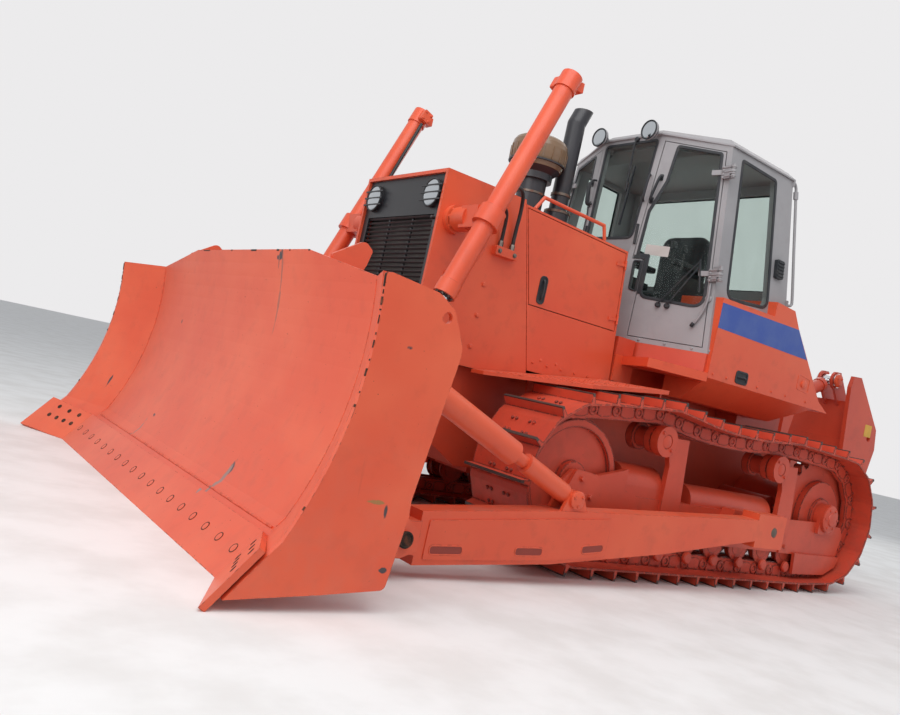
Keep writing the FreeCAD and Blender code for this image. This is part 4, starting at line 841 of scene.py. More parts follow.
@dataclass
class PushArms:
    """Raised panels, slots whose floors are flat dark red painted shade, and pin caps on the outer faces of the push
    arms.
    """

    middle_y: float = 1440.0
    face_y: float = 1510.0
    top: tuple = ((-200.0, 560.0), (1500.0, 430.0), (2450.0, 345.0))
    bottom: tuple = ((500.0, 250.0), (1500.0, 130.0), (2450.0, 85.0))
    slots: tuple = ((2365, 2150), (1783, 1577), (1268, 1090))
    pin: tuple = (2560.0, 215.0)
    brace_eye: tuple = (1385.0, 515.0)

    def edge(self, table: tuple, x: float) -> float:
        """Returns: height of the arm's upper or lower edge at x."""
        return float(np.interp(x, [row[0] for row in table], [row[1] for row in table]))

    def build(self) -> None:
        """Makes the pieces of both arms."""
        ends = (2395, 1500, 1060)
        above = [(-x, self.edge(self.top, x) - 36) for x in ends]
        below = [(-x, self.edge(self.bottom, x) + 20) for x in ends]
        table = rounded(np.array(below + above[::-1]), [12, 1, 12, 12, 1, 12], 5)
        panel = plate(table, (0, self.face_y - 1, 0), (-1, 0, 0), (0, 0, 1), 7)
        rims, shade_floors = [], []
        for x0, x1 in self.slots:
            x, z = (x0 + x1) / 2, self.edge(self.bottom, (x0 + x1) / 2) + 72
            lean = math.atan2(self.edge(self.bottom, x1) - self.edge(self.bottom, x0), x0 - x1)
            flat = box_outline(x0 - x1, 46, 22)
            turned = np.stack([flat[:, 0] * math.cos(lean) - flat[:, 1] * math.sin(lean),
                               flat[:, 0] * math.sin(lean) + flat[:, 1] * math.cos(lean)], axis=1)
            ring = np.stack([x - turned[:, 0], np.full(len(turned), self.face_y + 6), z + turned[:, 1]], axis=1)
            rims.append(sweep(ring, box_outline(7, 6, 2), (0, 1, 0), closed=True))
            # Each slot's floor is a thin dark red sheet on the panel: painted shade in the slot.
            shade_floors.append(plate(turned, (x, self.face_y + 5, z), (-1, 0, 0), (0, 0, 1), 1.6))
        both(join([panel] + rims)).place("arm_panels", Finishes.get("orange"), "blade", "orange_paint")
        both(join(shade_floors)).place("arm_slot_shade", Finishes.get("crease_shade"), "blade", "orange_paint")
        x, z = self.brace_eye
        cap = lathe([(54, -4), (54, 16), (46, 22), (8, 22)], (x, self.middle_y + 64, z), (0, 1, 0), 32)
        ring = [(x + 36 * math.cos(a), self.middle_y + 85, z + 36 * math.sin(a)) for a in (0.4, 2.5, 4.6)]
        both(join([cap, bolts(ring, (0, 1, 0), 15, 8)])).place("brace_eye_caps", Finishes.get("orange"), "blade",
                                                              "orange_paint")
        pin_face = Skin("push_arms").hit(np.array([(self.pin[0], 1900.0, self.pin[1])]), (0, -1, 0))[0][1]
        ring = lathe([(44, -3), (44, 5), (36, 9), (30, 4), (6, 4)], (self.pin[0], pin_face, self.pin[1]), (0, 1, 0),
                     28)
        both(ring).place("arm_pin_ends", Finishes.get("hole"), "blade", "bare_steel")


@dataclass
class Grousers:
    """Worn dark edges on the grousers, laid round the narrow end faces of the shoes' own meshes."""

    proud: float = 0.9
    ground: float = 1.0

    def faces(self, name: str) -> list:
        """Finds the flat faces of four corners that run the whole width of a shoe.

        Args: name: the node. Returns: (four corners in millimetres, outward normal, width) for each.
        """
        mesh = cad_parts[name].data
        points = np.empty(len(mesh.vertices) * 3)
        mesh.vertices.foreach_get("co", points)
        points = points.reshape(-1, 3) / MM + [ORIGIN_X, 0, 0]
        normals = np.empty(len(mesh.polygons) * 3)
        mesh.polygons.foreach_get("normal", normals)
        starts = np.empty(len(mesh.polygons), dtype=np.int32)
        mesh.polygons.foreach_get("loop_start", starts)
        corners = np.empty(len(mesh.loops), dtype=np.int32)
        mesh.loops.foreach_get("vertex_index", corners)
        links = np.empty(len(mesh.edges) * 2, dtype=np.int32)
        mesh.edges.foreach_get("vertices", links)
        a, b = links.reshape(-1, 2).T
        group, before = np.arange(len(points)), None
        while before is None or not (group == before).all():
            before = group.copy()
            low = np.minimum(group[a], group[b])
            np.minimum.at(group, a, low)
            np.minimum.at(group, b, low)
        outward = dict(zip(group[corners[starts]].tolist(), normals.reshape(-1, 3)))
        found = []
        for one in np.unique(group):
            four = points[group == one]
            if len(four) != 4 or np.ptp(four[:, 1]) < 500:
                continue
            width = np.linalg.norm(np.ptp(four[:, [0, 2]], axis=0))
            found.append((four, outward[int(one)], width))
        return found

    def cap(self, four: np.ndarray, normal: np.ndarray, depth: float) -> Shape:
        """A sleeve over one grouser's end: its face's outline carried inwards by the depth."""
        along = np.cross(normal, (0, 1, 0))
        spread = (four - four.mean(axis=0)) @ along
        half = np.ptp(spread) / 2 + self.proud
        middle = four.mean(axis=0)
        corners = [middle + along * u + normal * v for u, v in
                   ((-half, -depth), (half, -depth), (half, 0.4), (-half, 0.4))]
        reach = np.ptp(four[:, 1]) / 2 + 0.5
        rings = np.array([[c + [0, y, 0] for c in corners] for y in (-reach, reach)]).reshape(-1, 3)
        rings[:, 2] = np.maximum(rings[:, 2], 0.0)
        return Shape(rings, [(0, 1, 2, 3), (7, 6, 5, 4), (0, 4, 5, 1), (1, 5, 6, 2), (2, 6, 7, 3), (3, 7, 4, 0)])

    def build(self) -> None:
        """Makes the edges of both tracks."""
        for side in Side:
            faces = self.faces(side.label + "_track_shoes")
            widths = [width for four, normal, width in faces if four[:, 2].max() < self.ground]
            tips = [(four, normal) for four, normal, width in faces if abs(width - np.median(widths)) < 0.02]
            LOG.info("%s track: %d grousers", side.label, len(tips))
            caps = [self.cap(four, normal, 22 + 5 * math.sin(2.3 * number))
                    for number, (four, normal) in enumerate(tips)]
            join(caps).place(side.label + "_grouser_edges", Finishes.get("tip"), "tractor", "bare_steel", smooth=False)


@dataclass
class LiftGear:
    """Pipes, hoses and bolts of the two lift cylinders."""

    pivot: tuple = (1980.0, 870.0, 2050.0)
    eye: tuple = (2530.0, 870.0, 600.0)
    barrel: float = 64.0
    above: float = 1090.0
    below: float = 538.0

    def along(self, distance: float, aside: float = 0.0, back: float = 0.0) -> np.ndarray:
        """Returns: a point that far down the axis from the pivot, moved in y and backwards."""
        run = unit(np.subtract(self.eye, self.pivot))
        behind = np.array([run[2], 0, -run[0]])
        return np.asarray(self.pivot) + run * distance + np.array([0, aside, 0]) + behind * back

    def pipes(self, side: Side) -> None:
        """A steel pipe from the gland to the yoke, and the head's port block with its cap bolts."""
        r = self.barrel
        run = unit(np.subtract(self.eye, self.pivot))
        foot = smooth_path([self.along(self.below - 20, -30, r - 4), self.along(self.below - 90, -34, r + 24),
                            self.along(300, -30, r + 20), self.along(150, -34, r + 34), self.along(95, -80, r + 34)], 50)
        lug = plate(box_outline(64, 40, 8), tuple(self.along(self.below - 34, -22, r - 8)), (0, 1, 0), tuple(run), 30)
        port = plate(box_outline(88, 84, 12), tuple(self.along(20 - self.above, -r + 8)), tuple(run),
                     tuple(np.cross([0, -1.0, 0], run)), 58)
        caps = [self.along(20 - self.above + a, -r - 48, b) for a in (-28, 28) for b in (-26, 26)]
        body = side.label + "_lift_barrel"
        metal = join([sweep(foot, circle(11, 10), (0, 1, 0)), lug, port, bolts(caps, (0, -1, 0), 16, 9)])
        metal.on(side).place(side.label + "_lift_pipes", Finishes.get("orange"), body, "orange_paint")

    def head_bolts(self, side: Side) -> None:
        """Four bolts on the gland and the yoke caps, and the seal ring round the rod."""
        run = unit(np.subtract(self.eye, self.pivot))
        body = side.label + "_lift_barrel"
        shapes = []
        for angle in np.linspace(0, 2 * np.pi, 8, endpoint=False):
            cross = np.array([0, 1.0, 0]) * math.cos(angle) + np.cross(run, [0, 1.0, 0]) * math.sin(angle)
            spot = self.along(self.below + 30) + cross * 54
            shapes.append(bolts([spot], tuple(run), 15, 9))
        join(shapes).on(side).place(side.label + "_gland_bolts", Finishes.get("bolt"), body, "bare_steel")
        wiper = lathe([(50, 0), (50, 7), (44, 10), (36.5, 10), (36.5, 0)], tuple(self.along(self.below + 30)),
                      tuple(run), 32)
        wiper.on(side).place(side.label + "_rod_wiper", Finishes.get("rubber"), body, "black_steel")
        cap = []
        for dz in (-1, 1):
            for dx in (-1, 1):
                cap.append((self.pivot[0] + dx * 40, 760 - 11, self.pivot[2] + dz * 48))
        bolts(cap, (0, -1, 0), 20, 10).on(side).place(side.label + "_yoke_bolts", Finishes.get("bolt"), body,
                                                      "bare_steel")

    def hoses(self, side: Side) -> None:
        """Rubber hoses: one down the barrel, two from the yoke to a valve block on the hood's side."""
        r = self.barrel
        run = unit(np.subtract(self.eye, self.pivot))
        down = [self.along(d, a, b) for d, a, b in ((-1000, -r - 30, 0), (-900, -r - 34, 2), (-700, -r - 30, 8),
                                                    (-450, -r - 28, 16), (-250, -r - 34, 30), (-130, -r - 42, 52),
                                                    (-64, -r - 46, 64))]
        Hose(down, 26).place(side, side.label + "_barrel_hose", side.label + "_lift_barrel")
        foot = min(Skin(node).hit(np.array([[1540.0, 900.0, 1950.0]]), (0, -1, 0))[0][1]
                   for node in ("hood", "radiator_guard"))
        y = foot + 22
        long = [(1490, y, 2010), (1494, y + 4, 2120), (1512, y + 40, 2260), (1590, 650, 2370), (1720, 690, 2350),
                (1830, 712, 2250), (1900, 726, 2130)]
        short = [(1590, y, 2010), (1594, y + 6, 2090), (1650, 610, 2200), (1760, 675, 2210), (1850, 710, 2130),
                 (1900, 722, 2080)]
        Hose(long, 26).place(side, side.label + "_long_hose", "tractor")
        Hose(short, 24).place(side, side.label + "_short_hose", "tractor")
        block = plate(box_outline(190, 62, 8), (1540, foot - 2, 1950), (-1, 0, 0), (0, 0, 1), 50)
        nuts = bolts([(1475, foot + 48, 1950), (1605, foot + 48, 1950)], (0, 1, 0), 22, 12)
        unions = [lathe([(18, -34), (18, 22), (14, 30)], (x, y, 1992), (0, 0, 1), 6) for x in (1490, 1590)]
        swivel = lathe([(22, 0), (22, 40), (17, 46)], tuple(self.along(-64, -r - 46, 64) - run * 6), tuple(run), 6)
        rotary = lathe([(30, -8), (30, 16), (22, 22)], (1905, 735, 2105), (0, -1, 0), 24)
        block.on(side).place(side.label + "_valve_block", Finishes.get("orange"), "tractor", "orange_paint",
                             bevel=3)
        join([nuts, rotary] + unions).on(side).place(side.label + "_hose_unions", Finishes.get("bolt"), "tractor",
                                                     "bare_steel")
        swivel.on(side).place(side.label + "_barrel_union", Finishes.get("bolt"), side.label + "_lift_barrel",
                              "bare_steel")

    def build(self) -> None:
        """Makes both sides."""
        for side in Side:
            self.pipes(side)
            self.head_bolts(side)
            self.hoses(side)


@dataclass
class Nose:
    """Lamps, latch and bolts of the radiator guard and its grille."""

    lamp_y: float = 370.0
    lamp_z: float = 2200.0
    lamp_radius: float = 88.0

    def build(self) -> None:
        """Makes lenses, lamp rims, a latch and the guard's bolts."""
        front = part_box("head_lamps")[1].x / MM + ORIGIN_X
        face = front - 8
        lenses, rims = [], []
        for y in (-self.lamp_y, self.lamp_y):
            lens = [(self.lamp_radius, 0), (self.lamp_radius * 0.9, 2.5), (self.lamp_radius * 0.6, 5.4),
                    (self.lamp_radius * 0.3, 6.8), (4, 7.2)]
            lenses.append(lathe(lens, (face + 0.4, y, self.lamp_z), (1, 0, 0), 40))
            rims.append(sweep(np.array([(face, y, self.lamp_z)]) + np.pad(circle(92, 40), ((0, 0), (1, 0))),
                              circle(6, 8), (1, 0, 0), closed=True))
        join(lenses).place("head_lamp_lenses", Finishes.get("reflector"), "tractor", "lamp_glass")
        join(rims).place("head_lamp_rims", Finishes.get("rubber"), "tractor", "black_steel")
        grille = Skin("grille")
        latch = grille.hit(np.array([[2600.0, 455.0, 2010.0]]), (-1, 0, 0))[0]
        knob = join([plate(box_outline(30, 90, 8), tuple(latch), (0, 1, 0), (0, 0, 1), 14),
                     lathe([(11, 0), (11, 26), (8, 30)], (latch[0] + 12, latch[1], latch[2] + 20), (1, 0, 0), 16)])
        knob.place("grille_latch", Finishes.get("black"), "tractor", "black_steel", bevel=2)
        guard = Skin("radiator_guard")
        spots = [(x, 900.0, z) for x in (1640.0, 1960.0) for z in (1290.0, 1500.0, 1710.0)]
        seats = guard.hit(np.array(spots), (0, -1, 0))
        both(bolts(seats, (0, 1, 0), 26, 13)).place("guard_bolts", Finishes.get("orange"), "tractor", "orange_paint")
        ring = [(self.ring_x(a), 570.0 + 30, self.ring_z(a)) for a in np.linspace(0, 2 * np.pi, 8, endpoint=False)]
        seats = guard.hit(np.array([(x, 900.0, z) for x, y, z in ring]), (0, -1, 0))
        both(bolts(seats, (0, 1, 0), 18, 10)).place("boss_bolts", Finishes.get("orange"), "tractor", "orange_paint")

    @staticmethod
    def ring_x(angle: float) -> float:
        """Returns: x of a bolt round the lift pivot's boss."""
        return 1980 + 72 * math.cos(angle)

    @staticmethod
    def ring_z(angle: float) -> float:
        """Returns: its height."""
        return 2050 + 72 * math.sin(angle)


@dataclass
class EngineBay:
    """Door handles and hinge bolts of the hood."""

    handle_x: float = 1130.0
    handle_z: float = 1797.0

    def build(self) -> None:
        """Makes the pieces on both doors and on the hood."""
        skin = Skin("left_engine_door")
        door_y = skin.hit(np.array([[700.0, 900.0, 1800.0]]), (0, -1, 0))[0][1]
        x, z = self.handle_x, self.handle_z
        for side in Side:
            bezel = sweep(np.pad(box_outline(62, 190, 30), ((0, 0), (1, 0)))[:, [1, 0, 2]] + [x, door_y + 1, z],
                          box_outline(12, 9, 3), (0, 1, 0), closed=True)
            grip = sweep(smooth_path([(x, door_y, z - 70), (x, door_y + 15, z - 50), (x, door_y + 19, z),
                                      (x, door_y + 15, z + 50), (x, door_y, z + 70)], 30), circle(8, 10), (1, 0, 0))
            well = plate(box_outline(62, 190, 30), (x, door_y - 1, z), (-1, 0, 0), (0, 0, 1), 2.4)
            join([bezel, grip, well]).on(side).place(side.label + "_hatch_handle", Finishes.get("rubber"),
                                                     side.label + "_engine_hatch", "black_steel")
        hood = Skin("hood")
        xs = np.linspace(380, 1350, 8)
        seats = hood.hit(np.stack([xs, np.full(8, 900.0), np.full(8, 1290.0)], axis=1), (0, -1, 0))
        both(bolts(seats, (0, 1, 0), 16, 7)).place("hood_bolts", Finishes.get("orange"), "tractor", "orange_paint")


@dataclass
class Stacks:
    """Clamp, rain bands and pleats of the exhaust and the air cleaner."""

    exhaust_x: float = 712.0
    cleaner_x: float = 1015.0

    def build(self) -> None:
        """Makes bands, a clamp and a cap knob."""
        bands = [lathe([(104, -9), (104, 9), (97, 9), (97, -9)], (self.exhaust_x, 0, z), (0, 0, 1), 40)
                 for z in (2400, 2500)]
        bands.append(lathe([(80, -10), (80, 10), (71, 10), (71, -10)], (self.exhaust_x, 0, 2640), (0, 0, 1), 40))
        bands += [lathe([(113, -8), (113, 8), (106, 8), (106, -8)], (self.cleaner_x, 0, z), (0, 0, 1), 40)
                  for z in (2420, 2560)]
        join(bands).place("stack_bands", Finishes.get("steel"), "tractor", "bare_steel")
        knob = lathe([(34, -8), (34, 8), (20, 12), (18, 26), (8, 30)], (self.cleaner_x, 0, 2998), (0, 0, 1), 20)
        knob.place("bowl_knob", Finishes.get("black"), "tractor", "black_steel")
        count = 18
        angle = np.arange(count) * 2 * np.pi / count
        ribs = []
        for a in angle:
            out = np.array([math.cos(a), math.sin(a), 0])
            path = [np.array([self.cleaner_x, 0, z]) + out * r for r, z in ((214, 2800), (217, 2860), (217, 2900))]
            ribs.append(sweep(np.array(path), circle(3.5, 6), tuple(np.cross(out, (0, 0, 1)))))
        join(ribs).place("bowl_ribs", Finishes.get("bowl"), "tractor", "tan_plastic")
        ring = lathe([(219, -6), (219, 6), (208, 6), (208, -6)], (self.cleaner_x, 0, 2788), (0, 0, 1), 48)
        ring.place("bowl_band", Finishes.get("black"), "tractor", "black_steel")


@dataclass
class Cab:
    """Seals, wipers, handles, lamps and inside of the cab."""

    front_high_x: float = 72.0
    front_high_y: float = 306.7
    lamp_y: float = 275.0
    lamp_z: float = 3332.0
    side_window: tuple = ((131, 3187), (586, 3174), (677, 2150), (148, 2105))
    door_window: tuple = ((215, 3190), (569, 3240), (598, 2952), (690, 2701), (703, 2340), (612, 2340), (612, 2010),
                          (100, 1985))
    door_radii: tuple = (20, 20, 60, 40, 2, 2, 60, 95)
    quarter_window: tuple = ((660, 2050), (660, 2290), (722, 2290), (712, 2060))
    windscreen: tuple = ((280, 3290), (-280, 3290), (-256, 2473), (256, 2473))
    rear_window: tuple = ((760, 3140), (-760, 3140), (-800, 2330), (800, 2330))
    hinge_low: tuple = (-133.0, 1040.0, 1700.0)
    hinge_high: tuple = (-123.0, 895.0, 3250.0)

    def __post_init__(self) -> None:
        """Works out the walls from the cab's corners."""
        self.beside = Wall((-150, 1000, 1650), (-1, 0, 0), (-140, 850, 3250), 1)
        self.doorside = Wall((-150, 1000, 1650), (300, -760, 0), (-140, 850, 3250), -1)
        self.front = Wall((150, 0, 1650), (0, 1, 0), (self.front_high_x, 0, 3330), 1)
        self.back = Wall((-1150, 0, 1650), (0, 1, 0), (-965, 0, 3250), -1)

    def seals(self) -> None:
        """Rubber round the windows, and the dark strips between the door's glass and its quarter pane."""
        fixed = join([self.beside.seal(self.side_window, [20, 30, 90, 90], 26)])
        quarter = self.doorside.seal(self.quarter_window, [3, 3, 20, 20], 14)
        post = self.doorside.panel([(645, 2046), (654, 2046), (654, 2304), (645, 2304)], [2] * 4, -4, 8)
        single = join([self.front.seal(self.windscreen, [30, 30, 60, 60], 24),
                       self.back.seal(self.rear_window, [40] * 4, 24)])
        join([both(join([fixed, quarter, post])), single]).place("window_seals", Finishes.get("rubber"), "tractor",
                                                                 "black_steel")
        for side in Side:
            seal = self.doorside.seal(self.door_window, self.door_radii, 24)
            strip = self.doorside.panel([(614, 2030), (637, 2030), (637, 2338), (614, 2338)], [2] * 4, -4, 8)
            ledge = self.doorside.panel([(638, 2312), (731, 2312), (728, 2336), (638, 2336)], [2] * 4, -4, 8)
            join([seal, strip, ledge]).on(side).place(side.label + "_door_seal", Finishes.get("rubber"),
                                                      side.label + "_door", "black_steel")

    def wiper(self, wall: Wall, arms: list, blade: list, height: float = 26.0) -> Shape:
        """A wiper: a boss and a bent arm for each pair of (foot, tip), and one rubber blade.

        Args: wall: that it lies on. arms: pairs of (u, z). blade: its two ends. height: of the arms off the wall.
        Returns: the wiper.
        """
        normal = wall.frame()[2]
        parts = []
        for pivot, tip in arms:
            foot, end = wall.points([pivot])[0], wall.points([tip])[0]
            way = unit(end - foot)
            arm = smooth_path([foot + normal * 14, foot + normal * height + way * 30,
                               foot + normal * height + way * 120, end + normal * (height - 8)], 24)
            parts += [lathe([(21, 0), (21, 20), (14, 26)], tuple(foot), tuple(normal), 20),
                      sweep(arm, circle(7, 8), tuple(normal))]
        rail = wall.points(blade, 14)
        parts.append(sweep(np.linspace(rail[0], rail[1], 6), box_outline(11, 18, 2), tuple(normal)))
        return join(parts)

    def wipers(self) -> None:
        """A twin-armed one on each door and one hung from the windscreen's head."""
        for side in Side:
            pair = self.wiper(self.doorside, [((449, 1962), (190, 2340)), ((377, 1962), (186, 2300))],
                              [(197, 2350), (150, 2100)])
            pair.on(side).place(side.label + "_door_wipers", Finishes.get("rubber"), side.label + "_door",
                                "black_steel")
        high = self.wiper(self.front, [((57, 3316), (80, 2860))], [(112, 3080), (100, 2580)])
        high.place("windscreen_wiper", Finishes.get("rubber"), "tractor", "black_steel")

    def handle(self, points: list, radius: float, up: tuple = (1, 0.2, 0)) -> Shape:
        """A bent bar through points."""
        return sweep(smooth_path(points, 36), circle(radius, 10), up)

    def door_fittings(self, side: Side) -> None:
        """Grab bar, lower opening lever, ribbed hinge covers and a blank pale sticker of one door."""
        normal = self.doorside.frame()[2]

        def spot(u: float, z: float, off: float) -> np.ndarray:
            """Returns: a point off the door."""
            return self.doorside.points([(u, z)], off)[0]

        body = side.label + "_door"
        run = tuple(self.doorside.frame()[0])
        bar = self.handle([spot(650, 2982, 0), spot(652, 2970, 34), spot(670, 2885, 40), spot(690, 2792, 34),
                           spot(692, 2780, 0)], 11, run)
        pads = [self.doorside.panel([(u - 16, z - 26), (u + 16, z - 26), (u + 16, z + 26), (u - 16, z + 26)], [8] * 4,
                                    -2, 7) for u, z in ((651, 2978), (691, 2786))]
        join([bar] + pads).on(side).place(side.label + "_door_bar", Finishes.get("rubber"), body, "black_steel")
        lever = self.handle([spot(84, 2176, 8), spot(78, 2130, 22), spot(74, 2050, 24), spot(90, 1965, 24),
                             spot(122, 1888, 22), spot(150, 1846, 18)], 9, run)
        foot = lathe([(26, -2), (26, 8), (14, 12), (12, 22)], tuple(spot(76, 2060, 0)), tuple(normal), 20)
        join([lever, foot]).on(side).place(side.label + "_door_lever", Finishes.get("grey"), body, "grey_paint")
        tip = lathe([(10, -6), (14, 0), (14, 22), (9, 30)], tuple(spot(144, 1856, 19)),
                    tuple(spot(160, 1830, 16) - spot(144, 1856, 19)), 16)
        tip.on(side).place(side.label + "_lever_knob", Finishes.get("rubber"), body, "black_steel")
        sticker = self.doorside.panel([(461, 2347), (655, 2352), (655, 2434), (461, 2430)], [6] * 4, -14.2, 0.8)
        sticker.on(side).place(side.label + "_door_sticker", Finishes.get("sticker"), body, "grey_paint")
        for height, name in ((2243, "lower"), (3042, "upper")):
            moving, fixed = self.hinge_cover(height)
            moving.on(side).place("%s_%s_hinge_leaf" % (side.label, name), Finishes.get("grey"), body, "grey_paint")
            fixed.on(side).place("%s_%s_hinge_caps" % (side.label, name), Finishes.get("grey"), "tractor", "grey_paint")

    def hinge_cover(self, height: float) -> tuple:
        """A ribbed cover over a door hinge, as tables of (towards the leaf, outwards) carried along its axis.

        Args: height: of the hinge. Returns: what turns with the door, and the caps of the two fixed lugs.
        """
        low, high = np.array(self.hinge_low), np.array(self.hinge_high)
        run, _, normal = self.doorside.frame()
        axis = unit(high - low)
        centre = low + (high - low) * (height - low[2]) / (high[2] - low[2])
        outwards = np.cross(run, axis)
        outwards = unit(outwards if outwards @ normal > 0 else -outwards)
        square = unit(np.cross(axis, outwards))
        run = square if square @ run > 0 else -square

        def spread(table: np.ndarray, shift: float) -> np.ndarray:
            """Returns: a table's points in space, shifted along the axis."""
            return centre + axis * shift + table[:, :1] * run + table[:, 1:] * outwards

        def shell(outer: list, inner: list, start: float, end: float) -> Shape:
            """Returns: the band between two lines, with one rib across its middle."""
            outer = np.array(outer, float)
            section = np.vstack([outer, np.array(inner, float)]) if inner else outer
            rings = np.vstack([spread(section, start), spread(section, end)])
            count = len(section)
            faces = grid_faces(2, count, False, True)
            faces += [tuple(range(count - 1, -1, -1)), tuple(range(count, 2 * count))]
            rib = sweep(spread(outer + [0, 2], (start + end) / 2), box_outline(8, 9, 3), tuple(axis))
            return join([Shape(rings, [tuple(reversed(face)) for face in faces]), rib])

        leaf = [(22, 17), (50, 5), (92, -11)]
        under = [(90, -16.5), (50, -1), (22, 11)]
        bend = [(-18, 3), (-14, 15), (-4, 21), (12, 21)] + leaf[1:]
        inside = under[:2] + [(13, 15.5), (-3, 15.5), (-10.5, 11), (-14, 2.5)]
        cap = [(-17, -8), (-19.5, 4), (-13, 16), (0, 20.5), (13, 16), (19.5, 4), (17, -8)]
        heads = [centre + axis * shift + 78 * run - 3 * outwards for shift in (-42, -16, 16, 42)]
        moving = join([shell(bend, inside, -18.8, 18.8), shell(leaf, under, -50, -19), shell(leaf, under, 19, 50),
                       bolts(heads, tuple(outwards), 13, 6)])
        return moving, join([shell(cap, [], -50, -22), shell(cap, [], 22, 50)])

    def fittings(self) -> None:
        """Door fittings, pillar latches, grab bars, catches for the open doors and the rear rails."""
        for side in Side:
            self.door_fittings(side)
        post = self.doorside.panel([(740, 2420), (762, 2420), (766, 2588), (744, 2588)], [8] * 4, -2, 14)
        both(post).place("pillar_latches", Finishes.get("rubber"), "tractor", "black_steel", bevel=3)
        high = unit(np.array([self.front_high_x, self.front_high_y, 3330]) - np.array([150, 240, 1650]))
        foot = np.array([150, 240, 1650])
        grab = [foot + high * (d / high[2]) + np.array([18, 12, 0]) * k for d, k in
                ((1340, 0.3), (1325, 2.2), (1220, 2.6), (1140, 2.2), (1126, 0.3))]
        both(self.handle(grab, 9)).place("grab_bars", Finishes.get("rubber"), "tractor", "black_steel")
        catch = [self.beside.panel([(706, 2410), (798, 2410), (798, 2560), (700, 2560)], [14] * 4, -1, 30)]
        for z in (2432, 2459, 2486, 2513, 2540):
            path = self.beside.points([(716, z), (792, z)], 30)
            catch.append(sweep(path, box_outline(12, 13, 3), tuple(self.beside.frame()[2])))
        both(join(catch)).place("door_catches", Finishes.get("rubber"), "tractor", "black_steel")
        rail = smooth_path([(-962, 838, 3232), (-1004, 840, 3243), (-1034, 842, 3215), (-1050, 850, 3130),
                            (-1115, 890, 2700), (-1172, 926, 2320), (-1172, 929, 2262), (-1138, 929, 2246),
                            (-1078, 929, 2246)], 70)
        plates = [plate(box_outline(70, 60, 12), (-965 + 3, 838, 3228), (0, -1, 0), (0, 0, 1), 8),
                  plate(box_outline(70, 60, 12), (-1080 + 3, 925, 2246), (0, -1, 0), (0, 0, 1), 8)]
        clamp = lathe([(20, -30), (20, 30)], (-1046, 848, 3150), (0.147, -0.09, 1), 20)
        both(join([sweep(rail, circle(12, 10), (0, 1, 0)), clamp] + plates)).place("rear_rails", Finishes.get("grey"),
                                                                                  "tractor", "grey_paint")

    def roof_lamps(self) -> None:
        """Lenses and rims of the two lamps."""
        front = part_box("cab_roof")[1].x / MM + ORIGIN_X
        lenses, rims = [], []
        for y in (-self.lamp_y, self.lamp_y):
            centre = (front + 0.3, y, self.lamp_z)
            lenses.append(lathe([(70, 0), (62, 3), (42, 6.5), (20, 8.5), (4, 9)], centre, (1, 0, 0), 40))
            ring = np.pad(circle(75, 40), ((0, 0), (1, 0))) + np.array(centre)
            rims.append(sweep(ring, circle(6.5, 8), (1, 0, 0), closed=True))
            rims.append(lathe([(76, -30), (78.8, -22), (78.8, -2), (76, 0)], centre, (1, 0, 0), 40))
        join(lenses).place("roof_lamp_lenses", Finishes.get("reflector"), "tractor", "lamp_glass")
        join(rims).place("roof_lamp_rims", Finishes.get("rubber"), "tractor", "black_steel")

    def foot_bolts(self) -> None:
        """Bolts along the foot of the cab's side and door walls."""
        spots = [self.beside.points([(u, 1674)])[0] for u in (25,)]
        door = [self.doorside.points([(u, 1672)])[0] for u in (120, 330, 540, 740)]
        out = self.doorside.frame()[2]
        shape = join([bolts(spots, (0, 1, 0), 16, 8), bolts(door, tuple(out), 16, 8)])
        both(shape).place("cab_foot_bolts", Finishes.get("grey"), "tractor", "grey_paint")

    def inside(self) -> None:
        """Steering and blade levers and armrests."""
        levers = []
        for x, y, z, lean in ((-330, 360, 2300, 30), (-400, 380, 2300, -10), (-470, 350, 2300, 20)):
            levers.append(sweep(smooth_path([(x, y, z - 4), (x + lean, y - 5, z + 90), (x + lean, y - 12, z + 200)], 16),
                                circle(8, 10), (0, 1, 0)))
            levers.append(lathe([(8, 0), (22, 10), (26, 34), (20, 58), (6, 66)], (x + lean, y - 12, z + 190),
                                (0, 0, 1), 18))
        wheel = np.pad(circle(150, 32), ((0, 0), (0, 1))) + [-150, 0, 2420]
        levers.append(sweep(wheel, circle(12, 8), (0, 0, 1), closed=True))
        levers.append(sweep(np.array([(-40, 0, 2178), (-150, 0, 2420)]), circle(26, 10), (0, 1, 0)))
        join(levers).place("cab_levers", Finishes.get("plastic"), "tractor", "console_plastic")
        arms = [plate(box_outline(360, 90, 22), (-600, 300 - 40, 2395), (1, 0, 0), (0, 1, 0), 50)]
        both(join(arms)).place("armrests", Finishes.get("plastic"), "tractor", "console_plastic", bevel=12)

    def build(self) -> None:
        """Makes all the pieces."""
        self.seals()
        self.wipers()
        self.fittings()
        self.roof_lamps()
        self.foot_bolts()
        self.inside()


